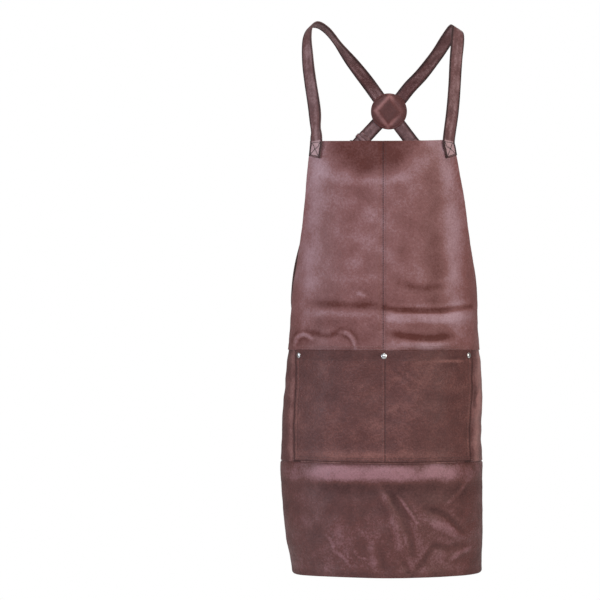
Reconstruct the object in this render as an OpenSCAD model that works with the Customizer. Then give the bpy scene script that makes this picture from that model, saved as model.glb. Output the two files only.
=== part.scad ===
// Cross-back leather welding apron, as it hangs when worn. Millimetres, +Z up, the front faces -Y.
// The origin is midway between the crests of the two shoulder straps.

/* [Body] */
// Height of the crests above the bib's top edge
bib_drop = 240; // [220:5:270]
// Length from the bib's top edge to the hem
body_length = 857; // [820:1:900]
// Length of the bib, down to the waist seam
bib_length = 411; // [400:1:425]
// Height of the waist panel, which carries the pockets
waist_height = 222; // [200:1:240]
// Thickness of the body leather
hide_t = 1.6; // [1.2:0.1:2]
// Overlap of each sewn seam
seam_lap = 12; // [8:1:14]

/* [Pocket] */
// Distance from the centre line to a pocket's outer edge
pocket_half = 174; // [160:1:180]
// How far a pocket stands open
pocket_gap = 10; // [8:0.5:12]
// Height of the turned hem at a pocket's mouth
hem_band = 17; // [12:1:22]

/* [Rivets] */
// Radius of a rivet's domed cap
cap_r = 5.5; // [4.5:0.25:6.5]
// Radius of a rivet's post
post_r = 1.5; // [1.2:0.1:2]
// Distance from the centre line to an outer rivet
rivet_x = 167; // [155:1:169]
// Depth of the rivets below the pocket's mouth
rivet_drop = 8; // [7:0.5:12]

/* [Straps] */
// Width of every strap
strap_w = 28; // [25:1:30]
// Thickness of a shoulder strap's outer leather
strap_t = 1.6; // [1.2:0.1:2]
// Thickness of a shoulder strap's lining
lining_t = 1; // [0.8:0.1:1.2]
// Thickness of a waist strap
belt_t = 2; // [1.6:0.1:2.2]

/* [Crossing] */
// Sideways place of the crossing
cross_x = 10; // [0:1:12]
// Depth of the crossing behind the front of the apron
cross_y = 236; // [225:1:245]
// Drop of the crossing below the shoulder crests
cross_drop = 164; // [155:1:175]
// Radius of the leather discs
disc_r = 37; // [34:0.5:40]
// Height of a disc's dome above its rim
disc_dome = 5; // [3:0.5:7]

// Slope of the line from the crossing to the left buckle
left_slope = 47; // [44:1:50]
// Slope of the line from the crossing to the right buckle
right_slope = 53; // [50:1:56]

/* [Buckles] */
// Distance from the crossing to the left buckle's bar
left_reach = 96; // [92:1:100]
// Distance from the crossing to the right buckle's bar
right_reach = 106; // [100:1:110]
// Radius of a buckle's bars
bar_r = 1.7; // [1.5:0.1:1.8]
// Distance between a buckle's two bars
buckle_l = 20; // [19:0.5:22]

/* [Hidden] */
$fn = 48;

// Clearances: between sewn layers, and all round a pin
layer_gap = 0.3;
pin_gap = 0.05;

// Heights of the seams and edges
z_bib = -bib_drop;
z_waist = z_bib - bib_length;
z_skirt = z_waist - waist_height;
z_hem = z_bib - body_length;
z_mouth = z_waist - 2;
z_pocket = z_skirt + 3;
z_rivet = z_mouth - rivet_drop;

// Shape of the worn body: at each height, the half width, the depth of the side edge behind the
// front, and the angle through which the leather wraps from the front to the side edge
half_widths = [
    [-1097, 192], [-1050, 196], [-1010, 200], [-950, 203], [-870, 204], [-745, 199], [-655, 193],
    [-590, 189], [-525, 186], [-490, 181], [-450, 174], [-410, 166], [-350, 157.5], [-240, 143], [0, 130]
];
side_depths = [[-1097, 150], [-870, 145], [-655, 130], [-520, 112], [-400, 82], [-240, 45], [0, 30]];
wrap_angles = [[-1097, 86], [-655, 84], [-500, 76], [-400, 65], [-240, 50], [0, 45]];

leather = [0.42, 0.27, 0.26];
lining_brown = [0.2, 0.13, 0.12];
nickel = [0.8, 0.8, 0.82];
dark_metal = [0.25, 0.24, 0.24];

// ---- Vectors and curves ----
function unit(v) = v / norm(v);
function clamp(v) = max(0, min(1, v));
function smooth(v) = let (c = clamp(v)) c * c * (3 - 2 * c);
function catmull(a, b, c, d, t) =
    0.5 * (2 * b + (c - a) * t + (2 * a - 5 * b + 4 * c - d) * t * t + (3 * b - a - 3 * c + d) * t * t * t);
// A smooth curve through the given points, with a number of steps between each two
function curve(points, steps) = let (last = len(points) - 1) [
    for (i = [0:last - 1], k = [0:steps - 1])
        catmull(points[max(i - 1, 0)], points[i], points[i + 1], points[min(i + 2, last)], k / steps),
    points[last]
];

// ---- The worn surface ----
function half_width(z) = lookup(z, half_widths);
function wrap(z) = lookup(z, wrap_angles);
function radius_x(z) = half_width(z) / sin(wrap(z));
function radius_y(z) = lookup(z, side_depths) / (1 - cos(wrap(z)));
// Angle round the body at which a point lies x to the side
function angle_at(x, z) = asin(x / radius_x(z));
function surface_normal(a, z) = unit([radius_y(z) * sin(a), -radius_x(z) * cos(a), 0]);
function skin_point(a, z, lift) =
    [radius_x(z) * sin(a), radius_y(z) * (1 - cos(a)), z] + lift * surface_normal(a, z);
// Angle at a distance d along the leather inside the side edge, on the side given by side
function edge_speed(z) = norm([radius_x(z) * cos(wrap(z)), radius_y(z) * sin(wrap(z))]) * PI / 180;
function edge_angle(side, d, z) = side * (wrap(z) - d / edge_speed(z));

// A sheet that follows the body: heights lists its rows, left(z) and right(z) are its side edges as
// angles, lift(x, z) is how far its inner face stands off the surface, and t is its thickness
module sheet(heights, left, right, lift, t, columns) {
    rows = len(heights) - 1;
    side = columns + 1;
    count = side * (rows + 1);
    function angle(i, z) = left(z) + (right(z) - left(z)) * i / columns;
    function place(i, z, extra) = let (a = angle(i, z))
        skin_point(a, z, lift(radius_x(z) * sin(a), z) + extra);
    points = [for (face = [0, t], z = heights, i = [0:columns]) place(i, z, face)];
    inner = [for (j = [0:rows - 1], i = [0:columns - 1]) let (p = j * side + i)
        [p, p + side, p + side + 1, p + 1]];
    outer = [for (q = inner) [for (k = [3:-1:0]) q[k] + count]];
    edge = concat([for (i = [0:columns - 1]) i], [for (j = [0:rows - 1]) j * side + columns],
        [for (i = [columns:-1:1]) rows * side + i], [for (j = [rows:-1:1]) j * side]);
    rim = [for (k = [0:len(edge) - 1]) let (p = edge[k], q = edge[(k + 1) % len(edge)])
        [p, q, q + count, p + count]];
    polyhedron(points, [for (q = concat(inner, outer, rim)) each [[q[0], q[1], q[2]], [q[0], q[2], q[3]]]]);
}
// Even heights from one to another
function heights(top, low, rows) = [for (j = [0:rows]) top + (low - top) * j / rows];

// ---- Straps ----
// A flat strap along a route. Its face points along the normals, and low and high are how far its
// two faces lie from the route along them
module ribbon(route, normals, low, high, width) {
    last = len(route) - 1;
    function along(i) = unit(route[min(i + 1, last)] - route[max(i - 1, 0)]);
    function across(i) = unit(cross(along(i), normals[i]));
    function out(i) = cross(across(i), along(i));
    points = [for (i = [0:last]) each [for (c = [[-1, low], [1, low], [1, high], [-1, high]])
        route[i] + across(i) * c[0] * width / 2 + out(i) * c[1]]];
    // Both faces are split along the same diagonal, so that layers on one route stay apart in a twist
    walls = [for (i = [0:last - 1], k = [0:3]) let (p = 4 * i + k, q = 4 * i + (k + 1) % 4)
        each k == 0 ? [[p, q, p + 4], [q, q + 4, p + 4]] : [[p, q + 4, p + 4], [p, q, q + 4]]];
    polyhedron(points, concat(walls, [[0, 2, 1], [0, 3, 2]],
        [[4 * last, 4 * last + 1, 4 * last + 2], [4 * last, 4 * last + 2, 4 * last + 3]]));
}

// The two crossing lines lie in upright planes, one just behind the other
crossing = [cross_x, cross_y, -cross_drop];
layer_half = 1.75;
function slope(side) = side > 0 ? right_slope : left_slope;
function line(side) = [side * cos(slope(side)), 0, -sin(slope(side))];
function reach(side) = side > 0 ? right_reach : left_reach;
function centre_of(side) = crossing + [0, side > 0 ? -layer_half : layer_half, 0];
function bar_place(side) = centre_of(side) + line(side) * reach(side);

// Where the strap ends are sewn
stitch_h = 32;
corner_in = strap_w / 2 + 2.5;
shoulder_lift = layer_gap + lining_t + layer_gap;
function corner_point(side, z) = skin_point(edge_angle(side, corner_in, z), z, shoulder_lift);
function corner_normal(side, z) = surface_normal(edge_angle(side, corner_in, z), z);

// Shoulder routes, from the bib corner over the shoulder and through the crossing to the buckle
// on the other side. The inner points are set by hand
left_over = [
    [-137, 56, -182], [-146, 72, -120], [-152, 86, -70], [-154, 97, -24], [-144, 111, 0],
    [-121, 135, -4], [-94, 162, -31], [-62, 196, -71], [-34, 224, -105]
];
left_over_normals = [
    [-0.5, -0.86, 0.1], [-0.55, -0.8, 0.15], [-0.6, -0.75, 0.2], [-0.75, -0.45, 0.5], [-0.5, 0.1, 0.9],
    [0.2, 0.45, 0.9], [0.35, 0.6, 0.75], [0.15, 0.85, 0.5], [0.05, 0.97, 0.2]
];
right_over = [
    [135, 56, -182], [140, 72, -120], [143.5, 86, -70], [147, 99, -27], [144, 112, -7],
    [128, 138, -24], [106, 168, -56], [78, 202, -90], [52, 226, -116]
];
right_over_normals = [
    [0.5, -0.86, 0.1], [0.5, -0.82, 0.15], [0.45, -0.85, 0.2], [0.4, -0.7, 0.6], [0.35, 0.3, 0.9],
    [0.1, 0.6, 0.8], [-0.1, 0.75, 0.65], [-0.05, 0.9, 0.4], [0, 0.98, 0.2]
];
bend_steps = 4;
function shoulder_points(side) = let (z0 = z_bib - stitch_h + 4, z1 = z_bib + 4) concat(
    [for (z = [z0, (z0 + z1) / 2, z1]) corner_point(side, z)],
    side > 0 ? right_over : left_over,
    [for (s = [-30, 0, 30]) centre_of(-side) + line(-side) * s],
    [bar_place(-side)]);
function shoulder_normals(side) = let (z0 = z_bib - stitch_h + 4, z1 = z_bib + 4) concat(
    [for (z = [z0, (z0 + z1) / 2, z1]) corner_normal(side, z)],
    side > 0 ? right_over_normals : left_over_normals,
    [for (k = [1:4]) [0, 1, 0]]);
function shoulder_route(side) = curve(shoulder_points(side), bend_steps);
function shoulder_faces(side) = curve(shoulder_normals(side), bend_steps);

// Places a child in the frame of a buckle: its bar lies along Y, the shoulder strap comes in from
// -X, and +Z points away from the wearer
bar_hole = bar_r + pin_gap;
function bar_axis(side) = bar_place(side) - [0, bar_hole, 0];
module at_buckle(side) {
    dir = line(side);
    translate(bar_axis(side))
        multmatrix([[dir[0], dir[2], 0, 0], [0, 0, 1, 0], [dir[2], -dir[0], 0, 0], [0, 0, 0, 1]])
            children();
}

// Waist straps, from the tip over the buckle's bar, under its front bar and down to the side edge
fold_r = bar_hole + strap_t;
tip_lift = fold_r + 0.3;
under_lift = -(bar_r + 0.35 + belt_t);
tip_reach = 29;
left_down = [
    [-97, 229, -290], [-127, 220, -345], [-152, 205, -415], [-172, 180, -485], [-182, 150, -543],
    [-184, 128, -575]
];
right_down = [
    [115, 227, -315], [138, 216, -372], [158, 201, -437], [174, 178, -497], [182, 150, -546],
    [184, 128, -575]
];
down_normals = [[0.1, 1, 0], [0.25, 0.95, 0], [0.45, 0.88, 0], [0.75, 0.65, 0], [0.95, 0.3, 0], [1, 0, 0]];
patch_t = 1.3;
// The strap lies flat inside the curved side edge, so its own edges need a little room
curve_room = 0.9;
waist_lift = -(hide_t + 2 * layer_gap + patch_t + curve_room + belt_t);
waist_in = [17, 18, 19];
waist_sewn = [z_waist + 53, z_waist + 35, z_waist + 17];
function waist_angle(side, k) = edge_angle(side, waist_in[k], waist_sewn[k]);
function belt_points(side) = concat(
    [for (s = [-tip_reach, -14, 0, 3]) bar_axis(side) + line(side) * s + [0, tip_lift, 0]],
    [bar_axis(side) + line(side) * 10 + [0, (tip_lift + under_lift) / 2, 0]],
    [for (s = [buckle_l - 1, buckle_l + 13, buckle_l + 27])
        bar_axis(side) + line(side) * s + [0, under_lift, 0]],
    side > 0 ? right_down : left_down,
    [for (k = [0:2]) skin_point(waist_angle(side, k), waist_sewn[k], waist_lift)]);
function belt_normals(side) = concat(
    [for (k = [0:7]) [0, 1, 0]],
    [for (n = down_normals) [side * n[0], n[1], n[2]]],
    [for (k = [0:2]) surface_normal(waist_angle(side, k), waist_sewn[k])]);

// ---- Panels ----
body_edge_left = function (z) -wrap(z);
body_edge_right = function (z) wrap(z);
function at_x(x) = function (z) angle_at(x, z);
step = hide_t + layer_gap;
tuck_run = 4;
// How far a panel is tucked behind the one above it, and the left bib half behind the right one
function tuck_down(z, seam) = smooth((z - seam + 1 + tuck_run) / tuck_run);
function tuck_centre(x) = smooth((seam_lap / 2 + 20 - abs(x)) / 8);
flat_lift = function (x, z) -hide_t;
left_bib_lift = function (x, z) -hide_t - step * (x > 0 ? 1 : tuck_centre(x));
waist_lift_at = function (x, z) -hide_t - 2 * step * tuck_down(z, z_waist);
skirt_lift_at = function (x, z) -hide_t - step * tuck_down(z, z_skirt);

panel_rows = 12;
bib_columns = 18;
function tucked_heights(seam, low) = concat([seam + seam_lap], heights(seam - 1, seam - 1 - tuck_run, 2),
    heights(seam - 15, low, panel_rows - 2));

module bib_panel_left() {
    color(leather) sheet(heights(z_bib, z_waist, panel_rows + 4), body_edge_left, at_x(seam_lap / 2),
        left_bib_lift, hide_t, bib_columns);
}
module bib_panel_right() {
    color(leather) sheet(heights(z_bib, z_waist, panel_rows + 4), at_x(-seam_lap / 2), body_edge_right,
        flat_lift, hide_t, bib_columns);
}
module waist_panel() {
    color(leather) difference() {
        sheet(tucked_heights(z_waist, z_skirt), body_edge_left, body_edge_right, waist_lift_at, hide_t,
            2 * bib_columns);
        for (x = [-rivet_x, 0, rivet_x]) at_rivet(x) rivet_hole();
    }
}
module skirt_panel() {
    color(leather) sheet(tucked_heights(z_skirt, z_hem), body_edge_left, body_edge_right, skirt_lift_at,
        hide_t, 2 * bib_columns);
}

// ---- Pocket ----
sewn_centre = 11;
sewn_edge = 20;
open_run = 20;
// How far a pocket stands open, from nothing at its stitching to the full gap
function open_x(x) = smooth((abs(x) - sewn_centre) / open_run)
    * smooth((pocket_half - sewn_edge - abs(x)) / open_run);
function open_z(z) = smooth((z - z_pocket - 6) / 40);
function pocket_open(x, z) = pocket_gap * open_x(x) * open_z(z);
pocket_lift = function (x, z) layer_gap + pocket_open(x, z);
hem_t = 1.2;
hem_room = 0.8;
hem_lift = function (x, z) pocket_lift(x, z) - hem_room - hem_t;
hem_inset = 7;
hem_from = sewn_centre + open_run + hem_inset;
hem_to = pocket_half - sewn_edge - open_run - hem_inset;
pocket_columns = 32;

module pocket_panel() {
    color(leather) difference() {
        sheet(heights(z_mouth, z_pocket, panel_rows), at_x(-pocket_half), at_x(pocket_half), pocket_lift,
            hide_t, pocket_columns);
        for (x = [-rivet_x, 0, rivet_x]) at_rivet(x) rivet_hole();
    }
}
module pocket_hem(side) {
    color(leather) sheet(heights(z_mouth, z_mouth - hem_band, 2),
        at_x(side > 0 ? hem_from : -hem_to), at_x(side > 0 ? hem_to : -hem_from), hem_lift, hem_t, 12);
}
module pocket_hem_left() pocket_hem(-1);
module pocket_hem_right() pocket_hem(1);

// ---- Rivets ----
cap_h = 2.2;
seat_gap = 0.25;
cap_seat = layer_gap + hide_t + seat_gap;
back_seat = -hide_t - seat_gap;
back_t = 1;
back_r = 4.8;
// Places a child on the surface at a rivet, with +Z pointing outwards
module at_rivet(x) {
    a = angle_at(x, z_rivet);
    n = surface_normal(a, z_rivet);
    translate(skin_point(a, z_rivet, 0)) rotate([90, 0, atan2(n[0], -n[1])]) children();
}
module rivet_hole() translate([0, 0, -10]) cylinder(r = post_r + pin_gap, h = 20);
module rivet_cap(x) {
    dome_r = (cap_r * cap_r + cap_h * cap_h) / (2 * cap_h);
    color(nickel) at_rivet(x) {
        translate([0, 0, cap_seat]) rotate_extrude() polygon(concat([[0, 0]],
            [for (k = [8:-1:0]) let (a = asin(cap_r / dome_r) * k / 8)
                [dome_r * sin(a), dome_r * cos(a) - dome_r + cap_h]]));
        translate([0, 0, back_seat - back_t - 0.4])
            cylinder(r = post_r, h = cap_seat - back_seat + back_t + 0.4 + cap_h / 2);
    }
}
module rivet_back(x) {
    color(nickel) at_rivet(x) difference() {
        translate([0, 0, back_seat - back_t]) cylinder(r = back_r, h = back_t);
        rivet_hole();
    }
}
module rivet_cap_left() rivet_cap(-rivet_x);
module rivet_cap_centre() rivet_cap(0);
module rivet_cap_right() rivet_cap(rivet_x);
module rivet_back_left() rivet_back(-rivet_x);
module rivet_back_centre() rivet_back(0);
module rivet_back_right() rivet_back(rivet_x);

// ---- Bib corners and waist patches ----
// A patch inside the side edge, between two distances from that edge
module edge_patch(side, top, low, near, far) {
    inner = -(hide_t + layer_gap + patch_t);
    a = function (z) edge_angle(side, side > 0 ? far : near, z);
    b = function (z) edge_angle(side, side > 0 ? near : far, z);
    color(leather) sheet(heights(top, low, 3), a, b, function (x, z) inner, patch_t, 5);
}
module bib_corner_patch(side) edge_patch(side, z_bib - 2, z_bib - stitch_h - 6, 2, 30);
module bib_corner_patch_left() bib_corner_patch(-1);
module bib_corner_patch_right() bib_corner_patch(1);
module waist_patch(side) edge_patch(side, z_waist + 56, z_waist + 15, 6, 34);
module waist_patch_left() waist_patch(-1);
module waist_patch_right() waist_patch(1);

// ---- Shoulder straps ----
slot_w = 4.4;
turn_back = 28;
// The fold is a hair inside the two plies that it joins
fold_ease = 0.06;
module shoulder_strap(side) {
    color(leather) difference() {
        union() {
            ribbon(shoulder_route(side), shoulder_faces(side), 0, strap_t, strap_w);
            at_buckle(-side) {
                rotate([90, 0, 0]) cylinder(r = fold_r - fold_ease, h = strap_w, center = true);
                translate([-turn_back, -strap_w / 2, -fold_r]) cube([turn_back, strap_w, strap_t]);
            }
        }
        at_buckle(-side) {
            rotate([90, 0, 0]) cylinder(r = bar_hole, h = strap_w + 2, center = true);
            translate([-6, -slot_w / 2, -fold_r - 1]) cube([12, slot_w, 2 * fold_r + 2]);
        }
    }
}
module shoulder_strap_left() shoulder_strap(-1);
module shoulder_strap_right() shoulder_strap(1);
module strap_lining(side) {
    // One ring shorter than the strap, so that it stops before the buckle's bar
    route = shoulder_route(side);
    rings = [0:len(route) - 2];
    color(lining_brown) ribbon([for (i = rings) route[i]], [for (i = rings) shoulder_faces(side)[i]],
        -layer_gap - lining_t, -layer_gap, strap_w);
}
module strap_lining_left() strap_lining(-1);
module strap_lining_right() strap_lining(1);

// ---- Crossing discs ----
disc_t = 1.8;
disc_gap = 4;
// A domed disc whose rim stands off the crossing, on the side given by side
module crossing_disc(side) {
    dome_r = (disc_r * disc_r + disc_dome * disc_dome) / (2 * disc_dome);
    arc = [for (k = [0:10]) asin(disc_r / dome_r) * k / 10];
    function rim_point(r, a) = [r * sin(a), r * cos(a) - dome_r + disc_dome];
    color(leather) translate(crossing + [0, side * disc_gap, 0]) rotate([side * -90, 0, 0]) rotate_extrude()
        polygon(concat([for (a = arc) rim_point(dome_r, a)],
            [for (k = [10:-1:0]) rim_point(dome_r + disc_t, arc[k])]));
}
module crossing_disc_inner() crossing_disc(-1);
module crossing_disc_outer() crossing_disc(1);

// ---- Buckles ----
rail_w = 3;
rail_h = 3.8;
rail_y = strap_w / 2 + 0.75;
prong_r = 1.1;
prong_w = 3;
prong_ring = 3;
prong_base = prong_ring - prong_r - 0.15;
module buckle_frame(side) {
    color(dark_metal) at_buckle(side) {
        for (x = [0, buckle_l]) translate([x, 0, 0]) rotate([90, 0, 0])
            cylinder(r = bar_r, h = 2 * rail_y + rail_w, center = true);
        for (turn = [-1, 1]) translate([-bar_r - 0.6, turn * (rail_y + rail_w / 2) - rail_w / 2, -rail_h / 2])
            cube([buckle_l + 2 * bar_r + 1.2, rail_w, rail_h]);
    }
}
module buckle_frame_left() buckle_frame(-1);
module buckle_frame_right() buckle_frame(1);
module buckle_prong(side) {
    rise = atan2(bar_r + 0.05 + prong_r - prong_base, buckle_l);
    color(dark_metal) at_buckle(side) difference($fn = 96) {
        union() {
            rotate([90, 0, 0]) cylinder(r = prong_ring, h = prong_w, center = true);
            translate([0, 0, prong_base]) rotate([0, 90 - rise, 0])
                translate([-prong_r, -prong_r, 0]) cube([2 * prong_r, 2 * prong_r, buckle_l + 2]);
        }
        rotate([90, 0, 0]) cylinder(r = bar_hole, h = prong_w + 2, center = true);
    }
}
module buckle_prong_left() buckle_prong(-1);
module buckle_prong_right() buckle_prong(1);

// ---- Keepers ----
keeper_x = -16;
keeper_l = 9;
keeper_t = 1.4;
keeper_room = 0.3;
module strap_keeper(side) {
    low = -fold_r - keeper_room;
    high = tip_lift + belt_t + keeper_room;
    half = strap_w / 2 + keeper_room;
    color(leather) at_buckle(side) translate([keeper_x - keeper_l / 2, 0, 0]) difference() {
        translate([0, -half - keeper_t, low - keeper_t])
            cube([keeper_l, 2 * (half + keeper_t), high - low + 2 * keeper_t]);
        translate([-1, -half, low]) cube([keeper_l + 2, 2 * half, high - low]);
    }
}
module strap_keeper_left() strap_keeper(-1);
module strap_keeper_right() strap_keeper(1);

// ---- Waist straps ----
slot_r = 1.5;
slot_from = 0.5;
slot_to = 11;
hole_r = 2;
hole_places = [-22, 33, 45];
module waist_strap(side) {
    color(leather) difference() {
        ribbon(curve(belt_points(side), bend_steps), curve(belt_normals(side), bend_steps), 0, belt_t,
            strap_w);
        at_buckle(side) translate([0, 0, -10]) {
            for (x = [slot_from, slot_to]) translate([x, 0, 0]) cylinder(r = slot_r, h = 20);
            translate([slot_from, -slot_r, 0]) cube([slot_to - slot_from, 2 * slot_r, 20]);
            for (x = hole_places) translate([x, 0, 0]) cylinder(r = hole_r, h = 20);
        }
    }
}
module waist_strap_left() waist_strap(-1);
module waist_strap_right() waist_strap(1);

bib_panel_left();
bib_panel_right();
waist_panel();
skirt_panel();
pocket_panel();
pocket_hem_left();
pocket_hem_right();
rivet_cap_left();
rivet_cap_centre();
rivet_cap_right();
rivet_back_left();
rivet_back_centre();
rivet_back_right();
bib_corner_patch_left();
bib_corner_patch_right();
shoulder_strap_left();
shoulder_strap_right();
strap_lining_left();
strap_lining_right();
crossing_disc_inner();
crossing_disc_outer();
buckle_frame_left();
buckle_frame_right();
buckle_prong_left();
buckle_prong_right();
strap_keeper_left();
strap_keeper_right();
waist_strap_left();
waist_strap_right();
waist_patch_left();
waist_patch_right();
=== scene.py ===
"""A cross-back leather welding apron, hanging in the shape it has when worn.

Lengths are in millimetres in the CAD frame, and make() turns them into metres. Only the floor, lamps and
camera are placed in metres.
"""
import math
import bmesh
import bpy
import numpy as np
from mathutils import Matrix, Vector


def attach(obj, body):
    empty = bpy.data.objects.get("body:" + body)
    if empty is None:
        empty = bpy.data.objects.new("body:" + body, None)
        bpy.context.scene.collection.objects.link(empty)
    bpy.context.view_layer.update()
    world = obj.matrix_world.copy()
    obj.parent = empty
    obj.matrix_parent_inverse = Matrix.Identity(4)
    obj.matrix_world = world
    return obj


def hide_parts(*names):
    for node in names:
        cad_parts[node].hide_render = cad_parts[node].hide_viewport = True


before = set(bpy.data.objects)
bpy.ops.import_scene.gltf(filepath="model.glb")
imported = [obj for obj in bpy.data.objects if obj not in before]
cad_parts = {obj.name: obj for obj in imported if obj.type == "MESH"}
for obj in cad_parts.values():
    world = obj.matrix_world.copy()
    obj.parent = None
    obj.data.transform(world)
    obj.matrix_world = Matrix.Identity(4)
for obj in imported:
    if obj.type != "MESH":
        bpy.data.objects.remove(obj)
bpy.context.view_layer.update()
MM = 0.001

# ---------------- the worn surface
AWAY = np.array([0.0, 1.0, 0.0])
Z_BIB = -240.0
Z_WAIST = -651.0
Z_SKIRT = -873.0
Z_HEM = -1097.0
Z_MOUTH = Z_WAIST - 2
Z_POCKET = Z_SKIRT + 3
Z_RIVET = Z_MOUTH - 8
HIDE = 1.6
PATCH_T = 1.3
HEM_T = 1.2
GAP = 0.3
STEP = HIDE + GAP
SEAM_EDGE = -1.0
SEAM_LAP = 12.0
POCKET_HALF = 174.0
RIVET_X = 167.0

# The worn shape as (height, value): half width, depth from front to side edge, the angle that it wraps
# round the body, and how far its sides stand in from the half width
WIDTHS = [
    (-1120, 191), (-1097, 192), (-1050, 196), (-1010, 200), (-950, 203), (-870, 204), (-745, 199),
    (-655, 193), (-590, 188.5), (-525, 184.5), (-490, 179), (-450, 172.5), (-410, 166), (-350, 159),
    (-240, 143), (0, 130)]
DEPTHS = [(-1120, 150), (-870, 145), (-655, 130), (-520, 112), (-400, 82), (-240, 45), (0, 30)]
WRAPS = [(-1120, 86), (-1097, 86), (-655, 84), (-500, 76), (-400, 65), (-240, 50), (0, 45)]
SWAYS = [
    (-1120, -5), (-1097, -4), (-1040, 0), (-985, 3), (-876, 6), (-745, 2), (-655, 0.5), (-560, 0), (-480, -2),
    (-350, -1), (-240, 4), (0, 2)]
LEVELS = np.arange(-1120.0, 1.0, 1.0)


def smooth_table(table, spread):
    """The table's values at every level, smoothed over a spread in millimetres."""
    values = np.interp(LEVELS, [p[0] for p in table], [p[1] for p in table])
    reach = int(3 * spread)
    kernel = np.exp(-0.5 * (np.arange(-reach, reach + 1) / spread) ** 2)
    kernel = kernel / kernel.sum()
    padded = np.concatenate([
        2 * values[0] - values[reach:0:-1],
        values,
        2 * values[-1] - values[-2:-reach - 2:-1]])
    return np.convolve(padded, kernel, "valid")


WIDTH_AT = smooth_table(WIDTHS, 20)
DEPTH_AT = smooth_table(DEPTHS, 14)
WRAP_AT = smooth_table(WRAPS, 14)
SWAY_AT = smooth_table(SWAYS, 14)


def look(values, z):
    return np.interp(z, LEVELS, values)


def wrap(z):
    """The angle of the right side edge at a height. The left one is its negative."""
    return np.radians(look(WRAP_AT, z))


def radius_x(z):
    return look(WIDTH_AT, z) / np.sin(wrap(z))


def radius_y(z):
    return look(DEPTH_AT, z) / (1 - np.cos(wrap(z)))


def angle_at(x, z):
    return np.arcsin(np.clip(x / radius_x(z), -1, 1))


def edge_speed(z):
    return np.hypot(radius_x(z) * np.cos(wrap(z)), radius_y(z) * np.sin(wrap(z)))


def edge_angle(side, inward, z):
    """The angle of a point at a distance inward along the leather from a side edge."""
    return side * (wrap(z) - inward / edge_speed(z))


def stack(*parts):
    return np.stack(np.broadcast_arrays(*parts), axis=-1)


def unit(v):
    return v / np.maximum(np.linalg.norm(v, axis=-1, keepdims=True), 1e-9)


def normal_at(a, z):
    return unit(stack(radius_y(z) * np.sin(a), -radius_x(z) * np.cos(a), np.zeros_like(a + z)))


def smooth(v):
    c = np.clip(v, 0, 1)
    return c * c * (3 - 2 * c)


def bump(v, spread):
    return np.exp(-0.5 * (v / spread) ** 2)


def travelled_along(path):
    """The distance from the start of a path to each of its points."""
    return np.concatenate([[0], np.cumsum(np.linalg.norm(np.diff(path, axis=0), axis=1))])


def circles(u, v, turn):
    """Unit circles in the planes of two directions, or of two rows of directions."""
    return u[..., None, :] * np.cos(turn)[:, None] + v[..., None, :] * np.sin(turn)[:, None]


def read_at(places, at, values):
    """Values in three columns, read at places along a path that has them at the distances in at."""
    return np.stack([np.interp(places, at, values[:, k]) for k in range(3)], -1)


# ---------------- folds and creases
def waves(seed, count, shortest, longest):
    """A seeded field of waves with wavelengths between two lengths, from about -1 to 1."""
    rng = np.random.default_rng(seed)
    lengths = np.exp(rng.uniform(np.log(shortest), np.log(longest), count))
    turns = rng.uniform(0, math.pi, count)
    phases = rng.uniform(0, 2 * math.pi, count)

    def field(x, z):
        total = 0
        for length, turn, phase in zip(lengths, turns, phases):
            along = x * math.cos(turn) + z * math.sin(turn)
            total = total + np.sin(2 * math.pi * along / length + phase)
        return total / math.sqrt(count)
    return field


BROAD = waves(3, 7, 110, 260)
MIDDLE = waves(11, 12, 28, 80)
FINE = waves(19, 26, 7, 22)
PATCHES = waves(27, 12, 40, 160)


def catmull(points, steps):
    """A smooth curve through points, with a number of steps between each two."""
    p = np.asarray(points, float)
    last = len(p) - 1
    out = []
    for i in range(last):
        a, b, c, d = p[max(i - 1, 0)], p[i], p[i + 1], p[min(i + 2, last)]
        for k in range(steps):
            t = k / steps
            out.append(0.5 * (
                2 * b + (c - a) * t + (2 * a - 5 * b + 4 * c - d) * t * t + (3 * b - a - 3 * c + d) * t ** 3))
    out.append(p[-1])
    return np.array(out)


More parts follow.
